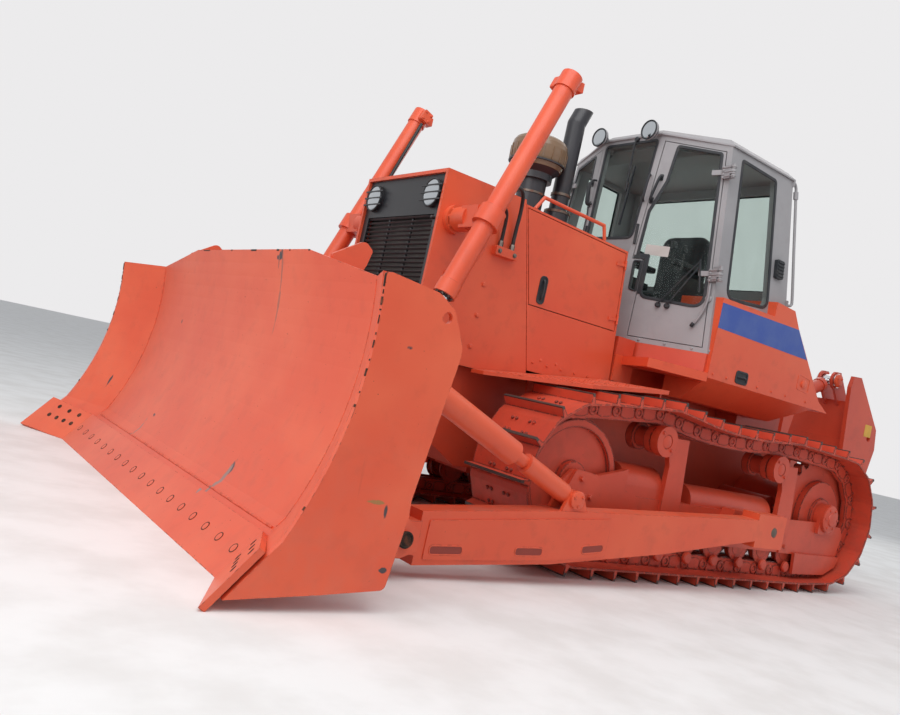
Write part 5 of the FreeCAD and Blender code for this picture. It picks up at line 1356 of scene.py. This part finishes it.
@dataclass
class Seat:
    """The operator's padded seat on its bellows, in the space of the CAD seat."""

    low: tuple = (-820.0, -260.0, 2050.0)
    high: tuple = (-330.0, 260.0, 2170.0)
    rest_low: tuple = (-900.0, -260.0, 2120.0)
    rest_high: tuple = (-790.0, 260.0, 2760.0)
    stand: tuple = (-760.0, -400.0, 180.0, 1690.0, 2038.0)
    channel_mm: float = 13.0

    def outline(self, half_u: float, half_v: float, count: int = 72) -> np.ndarray:
        """Plan of a pad: |u / a|^5 + |v / b|^5 = 1, its sides drawn in by 4% between the corners."""
        angle = np.arange(count) * 2 * np.pi / count
        c, s = np.cos(angle), np.sin(angle)
        u, v = np.sign(c) * np.abs(c) ** 0.4, np.sign(s) * np.abs(s) ** 0.4
        return np.stack([half_u * u * (0.96 + 0.04 * v ** 2), half_v * v * (0.96 + 0.04 * u ** 2)], axis=1)

    def pad(self, middle: tuple, axes: tuple, half: tuple, channels: tuple) -> Shape:
        """A crowned pad: its plan scaled by r, at height c (1 - r^p)^(1/p) above and below the seam.

        p is 3.2 on the sitting side and 7 beneath. Sewn channels sink it by a bell curve of v along each line.
        Args: middle: centre. axes: unit u, v and outward w. half: half sizes along them.
            channels: (depth, place along v, None) or (depth, None, place along u).
        Returns: the closed pad.
        """
        plan = self.outline(half[0], half[1])
        r = np.array([0.03, 0.1, 0.2, 0.3, 0.4, 0.5, 0.6, 0.7, 0.78, 0.85, 0.9, 0.94, 0.97, 0.99, 1.0])
        top, bottom = (1 - r ** 3.2) ** (1 / 3.2), (1 - r ** 7) ** (1 / 7)
        scale = np.concatenate([r, r[::-1][1:]])
        lift = np.concatenate([top, -bottom[::-1][1:]]) * half[2]
        u = scale[:, None] * plan[None, :, 0]
        v = scale[:, None] * plan[None, :, 1]
        w = np.repeat(lift[:, None], len(plan), axis=1)
        above = np.clip(w / half[2] * 2, 0, 1)
        for depth, at_v, at_u in channels:
            away = v - at_v if at_u is None else u - at_u
            w = w - depth * above * np.exp(-(away / self.channel_mm) ** 2)
        a, b, c = (np.asarray(axis, float) for axis in axes)
        points = np.asarray(middle, float) + u[..., None] * a + v[..., None] * b + w[..., None] * c
        rows, columns = u.shape
        faces = [tuple(reversed(face)) for face in grid_faces(rows, columns, False, True)]
        faces += [tuple(range(columns)), tuple(range(rows * columns - 1, (rows - 1) * columns - 1, -1))]
        return Shape(points.reshape(-1, 3), faces)

    def welt(self, middle: tuple, axes: tuple, half: tuple) -> Shape:
        """Piping along a pad's seam."""
        plan = self.outline(half[0] - 2, half[1] - 2)
        a, b, c = (np.asarray(axis, float) for axis in axes)
        return sweep(np.asarray(middle, float) + plan[:, :1] * a + plan[:, 1:] * b, circle(4.5, 8), tuple(c), True)

    def bellows(self) -> Shape:
        """The stand's rubber boot: a rounded box whose size rises and falls with height in eight pleats."""
        x0, x1, half, z0, z1 = self.stand
        rings = np.linspace(0, 1, 65)
        size = 1 - 0.07 * (0.5 - 0.5 * np.cos(rings * 16 * np.pi))
        flat = box_outline(x1 - x0, 2 * half, 50)
        points = np.concatenate([flat[None] * size[:, None, None],
                                 np.broadcast_to((z0 + rings * (z1 - z0))[:, None, None], (65, len(flat), 1))], axis=2)
        points = points + [(x0 + x1) / 2, 0, 0]
        faces = grid_faces(65, len(flat), False, True)
        last = 64 * len(flat)
        faces += [tuple(range(len(flat) - 1, -1, -1)), tuple(range(last, last + len(flat)))]
        return Shape(points.reshape(-1, 3), faces)

    def build(self) -> None:
        """Makes cushion, back, piping, pan and bellows in place of the CAD seat."""
        low, high, rest_low, rest_high = (np.array(v) for v in (self.low, self.high, self.rest_low, self.rest_high))
        ways = (np.eye(3)[0], np.eye(3)[1], np.eye(3)[2])
        rest_ways = (np.eye(3)[1], np.eye(3)[2], np.eye(3)[0])
        half, rest_half = (high - low) / 2, (rest_high - rest_low)[[1, 2, 0]] / 2
        seat = self.pad(tuple((low + high) / 2), ways, tuple(half - [0, 0, 8]),
                        ((9, -150, None), (9, 150, None), (6, None, 60), (6, None, -80)))
        back = self.pad(tuple((rest_low + rest_high) / 2), rest_ways, tuple(rest_half),
                        ((9, None, -150), (9, None, 150), (6, -120, None), (6, 20, None), (6, 160, None)))
        for name, shape in (("seat_cushion", seat), ("seat_back", back)):
            obj = shape.place(name, Finishes.get("cloth"), "tractor", "seat_cloth")
            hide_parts("operator_seat")
        welts = join([self.welt(tuple((low + high) / 2), ways, tuple(half)),
                      self.welt(tuple((rest_low + rest_high) / 2), rest_ways, tuple(rest_half))])
        welts.place("seat_piping", Finishes.get("plastic"), "tractor", "seat_cloth")
        pan = plate(box_outline(430, 440, 40), (-575, 0, 2034), (1, 0, 0), (0, 1, 0), 24)
        pan.place("seat_pan", Finishes.get("plastic"), "tractor", "console_plastic", bevel=4)
        self.bellows().place("seat_bellows", Finishes.get("rubber"), "tractor", "console_plastic")


@dataclass
class Tanks:
    """Stripe, recessed handle, filler door and bolts of the tanks."""

    face_y: float = 1030.0

    def outline(self, corners: list, depth: float) -> Shape:
        """A flat piece on the tank's outer face, its corners given as (x, z) seen from the left."""
        table = np.array([(-x, z) for x, z in corners], float)
        return plate(table, (0, self.face_y, 0), (-1, 0, 0), (0, 0, 1), depth)

    def build(self) -> None:
        """Makes the pieces on both tanks."""
        stripe = [(-175, 1857), (-175, 2047), (-1198, 2063), (-1396, 1850)]
        both(self.outline(stripe, 1.2)).place("tank_stripes", Finishes.get("stripe"), "tractor", "orange_paint", False)
        ring = rounded(np.array([(-650, 1505), (-510, 1505), (-510, 1590), (-650, 1590)]), [22] * 4)
        path = np.stack([ring[:, 0], np.full(len(ring), self.face_y), ring[:, 1]], axis=1)
        bezel = sweep(path, box_outline(16, 12, 3), (0, 1, 0), closed=True)
        well = self.outline([(-648, 1507), (-512, 1507), (-512, 1588), (-648, 1588)], 1.0)
        grip = sweep(smooth_path([(-632, 1028, 1548), (-610, 1044, 1548), (-580, 1048, 1548), (-550, 1044, 1548),
                                  (-528, 1028, 1548)], 24), circle(9, 8), (0, 0, 1))
        both(join([bezel, well, grip])).place("tank_handles", Finishes.get("rubber"), "tractor", "black_steel")
        edge = rounded(np.array([(-1500, 1585), (-1330, 1600), (-1330, 1720), (-1500, 1700)]), [20] * 4)
        path = np.stack([edge[:, 0], np.full(len(edge), self.face_y), edge[:, 1]], axis=1)
        door = join([sweep(path, box_outline(8, 6, 2), (0, 1, 0), closed=True),
                     lathe([(34, -2), (34, 8), (26, 12), (10, 12)], (-1415, self.face_y, 1650), (0, 1, 0), 28)])
        both(door).place("filler_doors", Finishes.get("orange"), "tractor", "orange_paint")
        row = [(x, self.face_y, 1515) for x in (-230, -400, -800, -1000, -1200, -1500)]
        both(bolts(row, (0, 1, 0), 16, 7)).place("tank_bolts", Finishes.get("orange"), "tractor", "orange_paint")


@dataclass
class Tracks:
    """Shoe bolts, pin ends and link bosses, set out along the track's pin line."""

    gauge: float = 2080.0
    count: int = 41
    idler: tuple = (1095.0, 0.0)
    idler_radius: float = math.hypot(390 + 62, 108)
    sprocket: tuple = (-1866.0, 604.0)
    sprocket_radius: float = 216 / (2 * math.sin(2 * math.pi / 27))
    ground_pin: float = 64 + 13 + 45
    carriers: tuple = ((356.0, 952.0), (-1045.0, 926.0))
    carrier_reach: float = 97 + 62 + 15
    sag: float = 57.0
    last_x: float = 463 - 317 * 6 - 60
    rail_offset: float = 82.0

    def tangent(self, centre: tuple, radius: float, point: tuple, side: int) -> float:
        """Returns: angle on a circle at which the line to a point touches it."""
        away = math.atan2(point[1] - centre[1], point[0] - centre[0])
        return away + side * math.acos(radius / math.dist(centre, point))

    def pins(self) -> np.ndarray:
        """Evenly spaced pins along the track.

        The line runs along the ground, round the sprocket's pitch circle, over the carriers with a parabola
        of sag between them, and round the idler; it is then cut into equal lengths.
        Returns: (x, z) of each pin.
        """
        idler = (self.idler[0], self.ground_pin + self.idler_radius)
        tops = [(x, z + self.carrier_reach) for x, z in self.carriers]
        first = self.tangent(idler, self.idler_radius, tops[0], -1)
        rear = self.tangent(self.sprocket, self.sprocket_radius, tops[1], 1)
        low = self.tangent(self.sprocket, self.sprocket_radius, (self.last_x, self.ground_pin), -1) + 2 * math.pi
        turn = np.linspace(low, rear, 61)
        t = np.linspace(0, 1, 21)[:, None]
        top = np.array(tops[1]) * (1 - t) + np.array(tops[0]) * t - np.array([0, self.sag * 4]) * t * (1 - t)
        bend = np.linspace(first, -math.pi / 2, 61)
        loop = np.vstack([[(self.last_x, self.ground_pin)],
                          np.array(self.sprocket) + self.sprocket_radius * np.stack([np.cos(turn), np.sin(turn)], 1),
                          top, np.array(idler) + self.idler_radius * np.stack([np.cos(bend), np.sin(bend)], 1)])
        closed = np.vstack([loop, loop[:1]])
        run = np.concatenate([[0], np.cumsum(np.linalg.norm(np.diff(closed, axis=0), axis=1))])
        where = np.linspace(0, run[-1], self.count, endpoint=False)
        return np.stack([np.interp(where, run, closed[:, 0]), np.interp(where, run, closed[:, 1])], axis=1)

    def repeat(self, shape: Shape, middles: np.ndarray, along: np.ndarray, out: np.ndarray) -> Shape:
        """Copies a shape drawn as (along, y, out) to every link: middle + along u + out w."""
        u, y, w = shape.points.T
        points = middles[:, None, :] + along[:, None, :] * u[None, :, None] + out[:, None, :] * w[None, :, None]
        full = np.stack([points[..., 0], np.broadcast_to(y, points.shape[:2]), points[..., 1]], axis=-1)
        size = len(u)
        faces = [tuple(i + k * size for i in face) for k in range(len(middles)) for face in shape.faces]
        return Shape(full.reshape(-1, 3), faces)

    def build(self) -> None:
        """Makes bolts on the shoes, link bosses and pin ends of both tracks."""
        pins = self.pins()
        ahead = np.roll(pins, -1, axis=0)
        along = unit(ahead - pins)
        out = np.stack([-along[:, 1], along[:, 0]], axis=1)
        middles = (pins + ahead) / 2
        face = 45 + 13
        head = lathe([(12, -1), (12, 9), (9.5, 12)], (0, 0, 0), (0, 0, 1), 6)
        spots = [(u, self.gauge / 2 + y, face) for u in (-62, 26) for y in (-102, -62, 62, 102)]
        shoe = join([head.moved(spot) for spot in spots])
        nuts = join([lathe([(13, -14), (13, 0)], (u, self.gauge / 2 + s * y, 45), (0, 0, 1), 6)
                     for u in (-62, 26) for s in (-1, 1) for y in (110,)])
        middle = self.gauge / 2
        bosses = []
        for side in (-1, 1):
            outer = middle + side * (self.rail_offset + 21)
            bosses.append(lathe([(40, 0), (40, 9), (34, 12), (20, 12), (19, 7), (6, 7)], (0, outer, 0), (0, side, 0), 16))
            inner = middle + side * (self.rail_offset - 21)
            bosses.append(lathe([(36, 0), (36, 6), (30, 8)], (0, inner, 0), (0, -side, 0), 16))
        bushes = lathe([(31, -60), (31, 60)], (0, middle, 0), (0, 1, 0), 16)
        link = join(bosses + [bushes])
        web = []
        for side in (-1, 1):
            y0 = middle + side * (self.rail_offset + 21)
            web.append(self.web(y0, side))
        for side in Side:
            bolts_shape = self.repeat(join([shoe, nuts]), middles, along, out)
            bolts_shape.on(side).place(side.label + "_shoe_bolts", Finishes.get("track"), "tractor", "track_paint",
                                       False)
            self.repeat(link, pins, along, out).on(side).place(side.label + "_link_bosses", Finishes.get("track"),
                                                               "tractor", "track_paint")
            self.repeat(join(web), middles, along, out).on(side).place(side.label + "_link_webs",
                                                                       Finishes.get("track"), "tractor",
                                                                       "track_paint", False)

    def web(self, y: float, side: int) -> Shape:
        """The raised middle of a link's side: a waisted plate between two pins."""
        outline = np.array([(-66, -34), (-30, -46), (30, -46), (66, -34), (62, 30), (34, 40), (-34, 40), (-62, 30)],
                           float)
        count = len(outline)
        base = np.stack([outline[:, 0], np.full(count, y), outline[:, 1]], axis=1)
        top = base + [0, side * 7, 0]
        faces = grid_faces(2, count, False, True) + [tuple(range(count - 1, -1, -1)), tuple(range(count, 2 * count))]
        shape = Shape(np.vstack([base, top]), faces)
        return shape if side < 0 else Shape(shape.points, [tuple(reversed(f)) for f in faces])


@dataclass
class TrackFrames:
    """Bolts and caps of the track frames."""

    outer_y: float = 1180.0
    bearing: tuple = (-1866.0, 604.0)

    def build(self) -> None:
        """Makes the pieces on both frames."""
        rows = [(x, z) for x, z in ((1079, 610), (1183, 504), (1126, 503), (1038, 503), (979, 503))]
        skin = Skin("track_frames")
        seats = skin.hit(np.array([(x, 1500.0, z) for x, z in rows]), (0, -1, 0))
        guard = skin.hit(np.array([(x, 1500.0, z) for x in (-1350, -900, -450, 0, 450) for z in (330.0,)]), (0, -1, 0))
        shape = join([bolts(seats, (0, 1, 0), 30, 20), bolts(guard, (0, 1, 0), 26, 15)])
        both(shape).place("frame_bolts", Finishes.get("frame"), "tractor", "orange_paint")
        x, z = self.bearing
        face = skin.hit(np.array([(x, 1600.0, z)]), (0, -1, 0))[0][1]
        cap = lathe([(112, -4), (112, 6), (96, 14), (60, 16), (54, 26), (20, 30), (6, 30)], (x, face, z), (0, 1, 0), 40)
        ring = [(x + 84 * math.cos(a), face + 10, z + 84 * math.sin(a)) for a in np.linspace(0, 2 * np.pi, 6, False)]
        both(join([cap, bolts(ring, (0, 1, 0), 20, 11)])).place("bearing_caps", Finishes.get("frame"), "tractor",
                                                                "orange_paint")
        posts = []
        for cx, cz in ((356.0, 952.0), (-1045.0, 926.0)):
            end = skin.hit(np.array([(cx + 80, 1500.0, cz)]), (0, -1, 0))[0][1]
            posts.append(lathe([(46, -8), (46, 4), (36, 10), (10, 12)], (cx, 1224.0, cz), (0, 1, 0), 28))
            posts.append(bolts([(cx + 78 * c, max(end, 1230), cz + 78 * s) for c, s in ((0.7, 0.7), (-0.7, -0.7))],
                               (0, 1, 0), 20, 12))
        both(join(posts)).place("carrier_caps", Finishes.get("frame"), "tractor", "orange_paint")
        caps = [lathe([(44, -6), (44, 10), (34, 18), (8, 18)], (463 - 317 * i, self.outer_y, 165.0), (0, 1, 0), 24)
                for i in range(7)]
        both(join(caps)).place("roller_caps", Finishes.get("frame"), "tractor", "orange_paint")


@dataclass
class Ripper:
    """Plates, bolts and hoses of the ripper."""

    pivot: tuple = (-2330.0, 1560.0)
    eye: tuple = (-2985.0, 1890.0)

    def build(self) -> None:
        """Makes blank plates, pin caps and hoses."""
        for side in Side:
            for number, y in enumerate((306.0, 354.0)):
                path = [(-2196, y * 0.7, 1200), (-2160, y * 0.78, 1330), (-2140, y * 0.92, 1500), (-2140, y, 1640),
                        (-2172, y, 1745), (-2258, y, 1786), (-2338, y, 1748), (-2364, y, 1670), (-2364, y, 1640)]
                Hose(path, 22).place(side, side.label + "_ripper_hose_" + str(number), "tractor")
        ends = Skin("ripper_rods").hit(np.array([(self.eye[0], 900.0, self.eye[1])]), (0, -1, 0))[0]
        cap = lathe([(66, -6), (66, 10), (56, 15), (6, 15)], tuple(ends), (0, 1, 0), 32)
        ring = [ends + [42 * math.cos(a), 14, 42 * math.sin(a)] for a in (0.5, 2.6, 4.7)]
        both(join([cap, bolts(ring, (0, 1, 0), 16, 8)])).place("ripper_eye_caps", Finishes.get("orange"), "ripper",
                                                              "orange_paint")
        frame_skin = Skin("ripper_frame")
        seat = frame_skin.hit(np.array([(-3400.0, 1200.0, 1470.0)]), (0, -1, 0))[0]
        label = plate(box_outline(130, 120, 6), tuple(seat), (-1, 0, 0), (0, 0, 1), 1.5)
        both(label).place("ripper_plates", Finishes.get("plate"), "ripper", "orange_paint", False)


@dataclass
class Steps:
    """Raised treads on the footsteps and the sloping plates."""

    def build(self) -> None:
        """Makes rows of small lozenges set on the walking faces."""
        skin = Skin("fenders")
        xs, ys = np.meshgrid(np.arange(430, 1480, 52.0), np.arange(640, 1100, 46.0))
        xs = xs + (np.arange(xs.shape[0]) % 2)[:, None] * 26
        starts = np.stack([xs.ravel(), ys.ravel(), np.full(xs.size, 1440.0)], axis=1)
        seats = skin.hit(starts, (0, 0, -1))
        seats = seats[(seats[:, 2] > 1080) & (seats[:, 2] < 1400)]
        turned = np.arange(len(seats)) % 2
        one = [(-17, 0), (0, -4.5), (17, 0), (0, 4.5)]
        lozenges = []
        for flip in (0, 1):
            angle = math.radians(45 if flip else -45)
            table = np.array([(a * math.cos(angle) - b * math.sin(angle), a * math.sin(angle) + b * math.cos(angle))
                              for a, b in one])
            stud = plate(table, (0, 0, -0.5), (1, 0, 0), (0, 1, 0), 3.0)
            lozenges += [stud.moved(tuple(seat)) for seat in seats[turned == flip]]
        both(join(lozenges)).place("tread_studs", Finishes.get("orange"), "tractor", "orange_paint", False)


ASSEMBLIES: tuple = (Blade, PushArms, Grousers, LiftGear, Nose, EngineBay, Stacks, Cab, Seat, Tanks, Tracks,
                     TrackFrames, Ripper, Steps)


@dataclass(frozen=True)
class Dressing:
    """Which finish each node of the CAD frame wears."""

    worn: tuple = (
        ("frame", ("main_frame", "track_frames", "ripper_mount", "ripper_frame", "ripper_cylinders", "cab_base")),
        ("orange", ("radiator_guard", "hood", "hood_handrails", "left_engine_door", "right_engine_door", "fenders",
                    "side_tanks", "push_arms", "braces", "left_lift_cylinder", "right_lift_cylinder")),
        ("blade", ("blade_mouldboard", "blade_back", "blade_end_plates", "cutting_edge", "end_bits")),
        ("track", ("left_track_shoes", "right_track_shoes", "left_track_chain", "right_track_chain", "idlers",
                   "sprockets", "track_rollers")),
        ("grey", ("cab_shell", "cab_roof", "left_cab_door", "right_cab_door")),
        ("dark", ("grille", "head_lamps")),
        ("black", ("exhaust_stack", "air_cleaner")),
        ("steel", ("trunnion_balls", "ripper_shanks")),
        ("iron", ("engine_block",)),
        ("chrome", ("left_lift_rod", "right_lift_rod", "ripper_rods")),
        ("glass", ("cab_glass", "left_cab_door_glass", "right_cab_door_glass")),
        ("bowl", ("air_cleaner_bowl",)),
        ("cloth", ("operator_seat",)),
        ("plastic", ("operator_console",)),
    )

    def build(self) -> None:
        """Puts the finishes on the nodes."""
        for finish, nodes in self.worn:
            for name in nodes:
                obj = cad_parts[name]
                obj.data.materials.clear()
                obj.data.materials.append(Finishes.get(finish))
                LOG.info("%s wears %s", name, finish)


@dataclass(frozen=True)
class Studio:
    """Pale floor, soft lamps and the camera where the photograph was taken."""

    place: tuple = (4971.05, 4961.5, 1006.7)
    yaw: float = -2.19297
    pitch: float = 0.03220
    roll: float = 0.21989
    focal_share: float = 838.62 / 900
    sensor_mm: float = 36.0
    floor_half: float = 60.0
    pale: str = "#E9E8E6"

    def camera(self) -> None:
        """Sets the camera's matrix from yaw, pitch and roll."""
        cy, sy, cp, sp = math.cos(self.yaw), math.sin(self.yaw), math.cos(self.pitch), math.sin(self.pitch)
        ahead = Vector((cy * cp, sy * cp, sp))
        right = ahead.cross(Vector((0, 0, 1))).normalized()
        up = right.cross(ahead)
        turned_right = right * math.cos(self.roll) + up * math.sin(self.roll)
        turned_up = up * math.cos(self.roll) - right * math.sin(self.roll)
        data = bpy.data.cameras.new("camera")
        data.sensor_fit = "HORIZONTAL"
        data.sensor_width = self.sensor_mm
        data.lens = self.focal_share * self.sensor_mm
        data.clip_end = 500
        obj = bpy.data.objects.new("camera", data)
        bpy.context.scene.collection.objects.link(obj)
        matrix = Matrix((turned_right, turned_up, -ahead)).transposed().to_4x4()
        x, y, z = self.place
        matrix.translation = ((x - ORIGIN_X) * MM, y * MM, z * MM)
        obj.matrix_world = matrix
        bpy.context.scene.camera = obj

    def lamp(self, name: str, place: tuple, size: float, power: float) -> None:
        """Adds a square lamp that looks at the machine's middle."""
        data = bpy.data.lights.new(name, "AREA")
        data.shape = "SQUARE"
        data.size = size
        data.energy = power
        obj = bpy.data.objects.new(name, data)
        bpy.context.scene.collection.objects.link(obj)
        obj.location = place
        obj.rotation_euler = (Vector((0, 0, 1.2)) - Vector(place)).to_track_quat("-Z", "Y").to_euler()

    def world(self) -> None:
        """Soft light all round, with a pale backdrop for the eye and for reflections."""
        world = bpy.data.worlds.new("studio")
        bpy.context.scene.world = world
        world.use_nodes = True
        tree = world.node_tree
        tree.nodes.clear()
        path = tree.nodes.new("ShaderNodeLightPath")
        seen = tree.nodes.new("ShaderNodeMath")
        seen.operation = "MAXIMUM"
        glossy = tree.nodes.new("ShaderNodeMath")
        glossy.operation = "MAXIMUM"
        tree.links.new(path.outputs["Is Camera Ray"], seen.inputs[0])
        tree.links.new(path.outputs["Is Glossy Ray"], glossy.inputs[0])
        tree.links.new(path.outputs["Is Transmission Ray"], glossy.inputs[1])
        tree.links.new(glossy.outputs[0], seen.inputs[1])
        light, backdrop = tree.nodes.new("ShaderNodeBackground"), tree.nodes.new("ShaderNodeBackground")
        light.inputs["Color"].default_value = (0.86, 0.9, 0.96, 1)
        light.inputs["Strength"].default_value = 0.55
        backdrop.inputs["Color"].default_value = linear("#ECEBEC")
        mix, out = tree.nodes.new("ShaderNodeMixShader"), tree.nodes.new("ShaderNodeOutputWorld")
        tree.links.new(seen.outputs[0], mix.inputs[0])
        tree.links.new(light.outputs[0], mix.inputs[1])
        tree.links.new(backdrop.outputs[0], mix.inputs[2])
        tree.links.new(mix.outputs[0], out.inputs[0])

    def floor(self) -> None:
        """Lays the pale floor at ground level."""
        half = self.floor_half
        mesh = bpy.data.meshes.new("floor")
        corners = [(-half, -half, 0), (half, -half, 0), (half, half, 0), (-half, half, 0)]
        mesh.from_pydata(corners, [], [(0, 1, 2, 3)])
        n = Nodes(bpy.data.materials.new("pale_concrete"))
        colour = n.blend(n.band(n.noise(400, 4), 0.35, 0.7), self.pale, "#DEDCD9")
        shader = n.add("BsdfPrincipled", {"Base Color": colour, "Roughness": 0.85})
        mesh.materials.append(n.finish(shader))
        obj = bpy.data.objects.new("floor", mesh)
        bpy.context.scene.collection.objects.link(obj)

    def build(self) -> None:
        """Makes the whole set."""
        self.camera()
        self.world()
        self.floor()
        self.lamp("key", (3.5, 4.0, 9.0), 8.0, 560)
        self.lamp("front", (9.0, 2.5, 4.0), 5.0, 170)
        self.lamp("rear", (-8.0, -4.0, 6.0), 6.0, 170)
        bpy.context.scene.view_settings.view_transform = "Standard"


def main() -> None:
    """Builds the set, dresses the frame and adds each sub-assembly's pieces."""
    logging.basicConfig(level=logging.INFO, format="%(message)s")
    Studio().build()
    Dressing().build()
    for assembly in ASSEMBLIES:
        LOG.info("building %s", assembly.__name__)
        assembly().build()


if __name__ == "__main__":
    main()
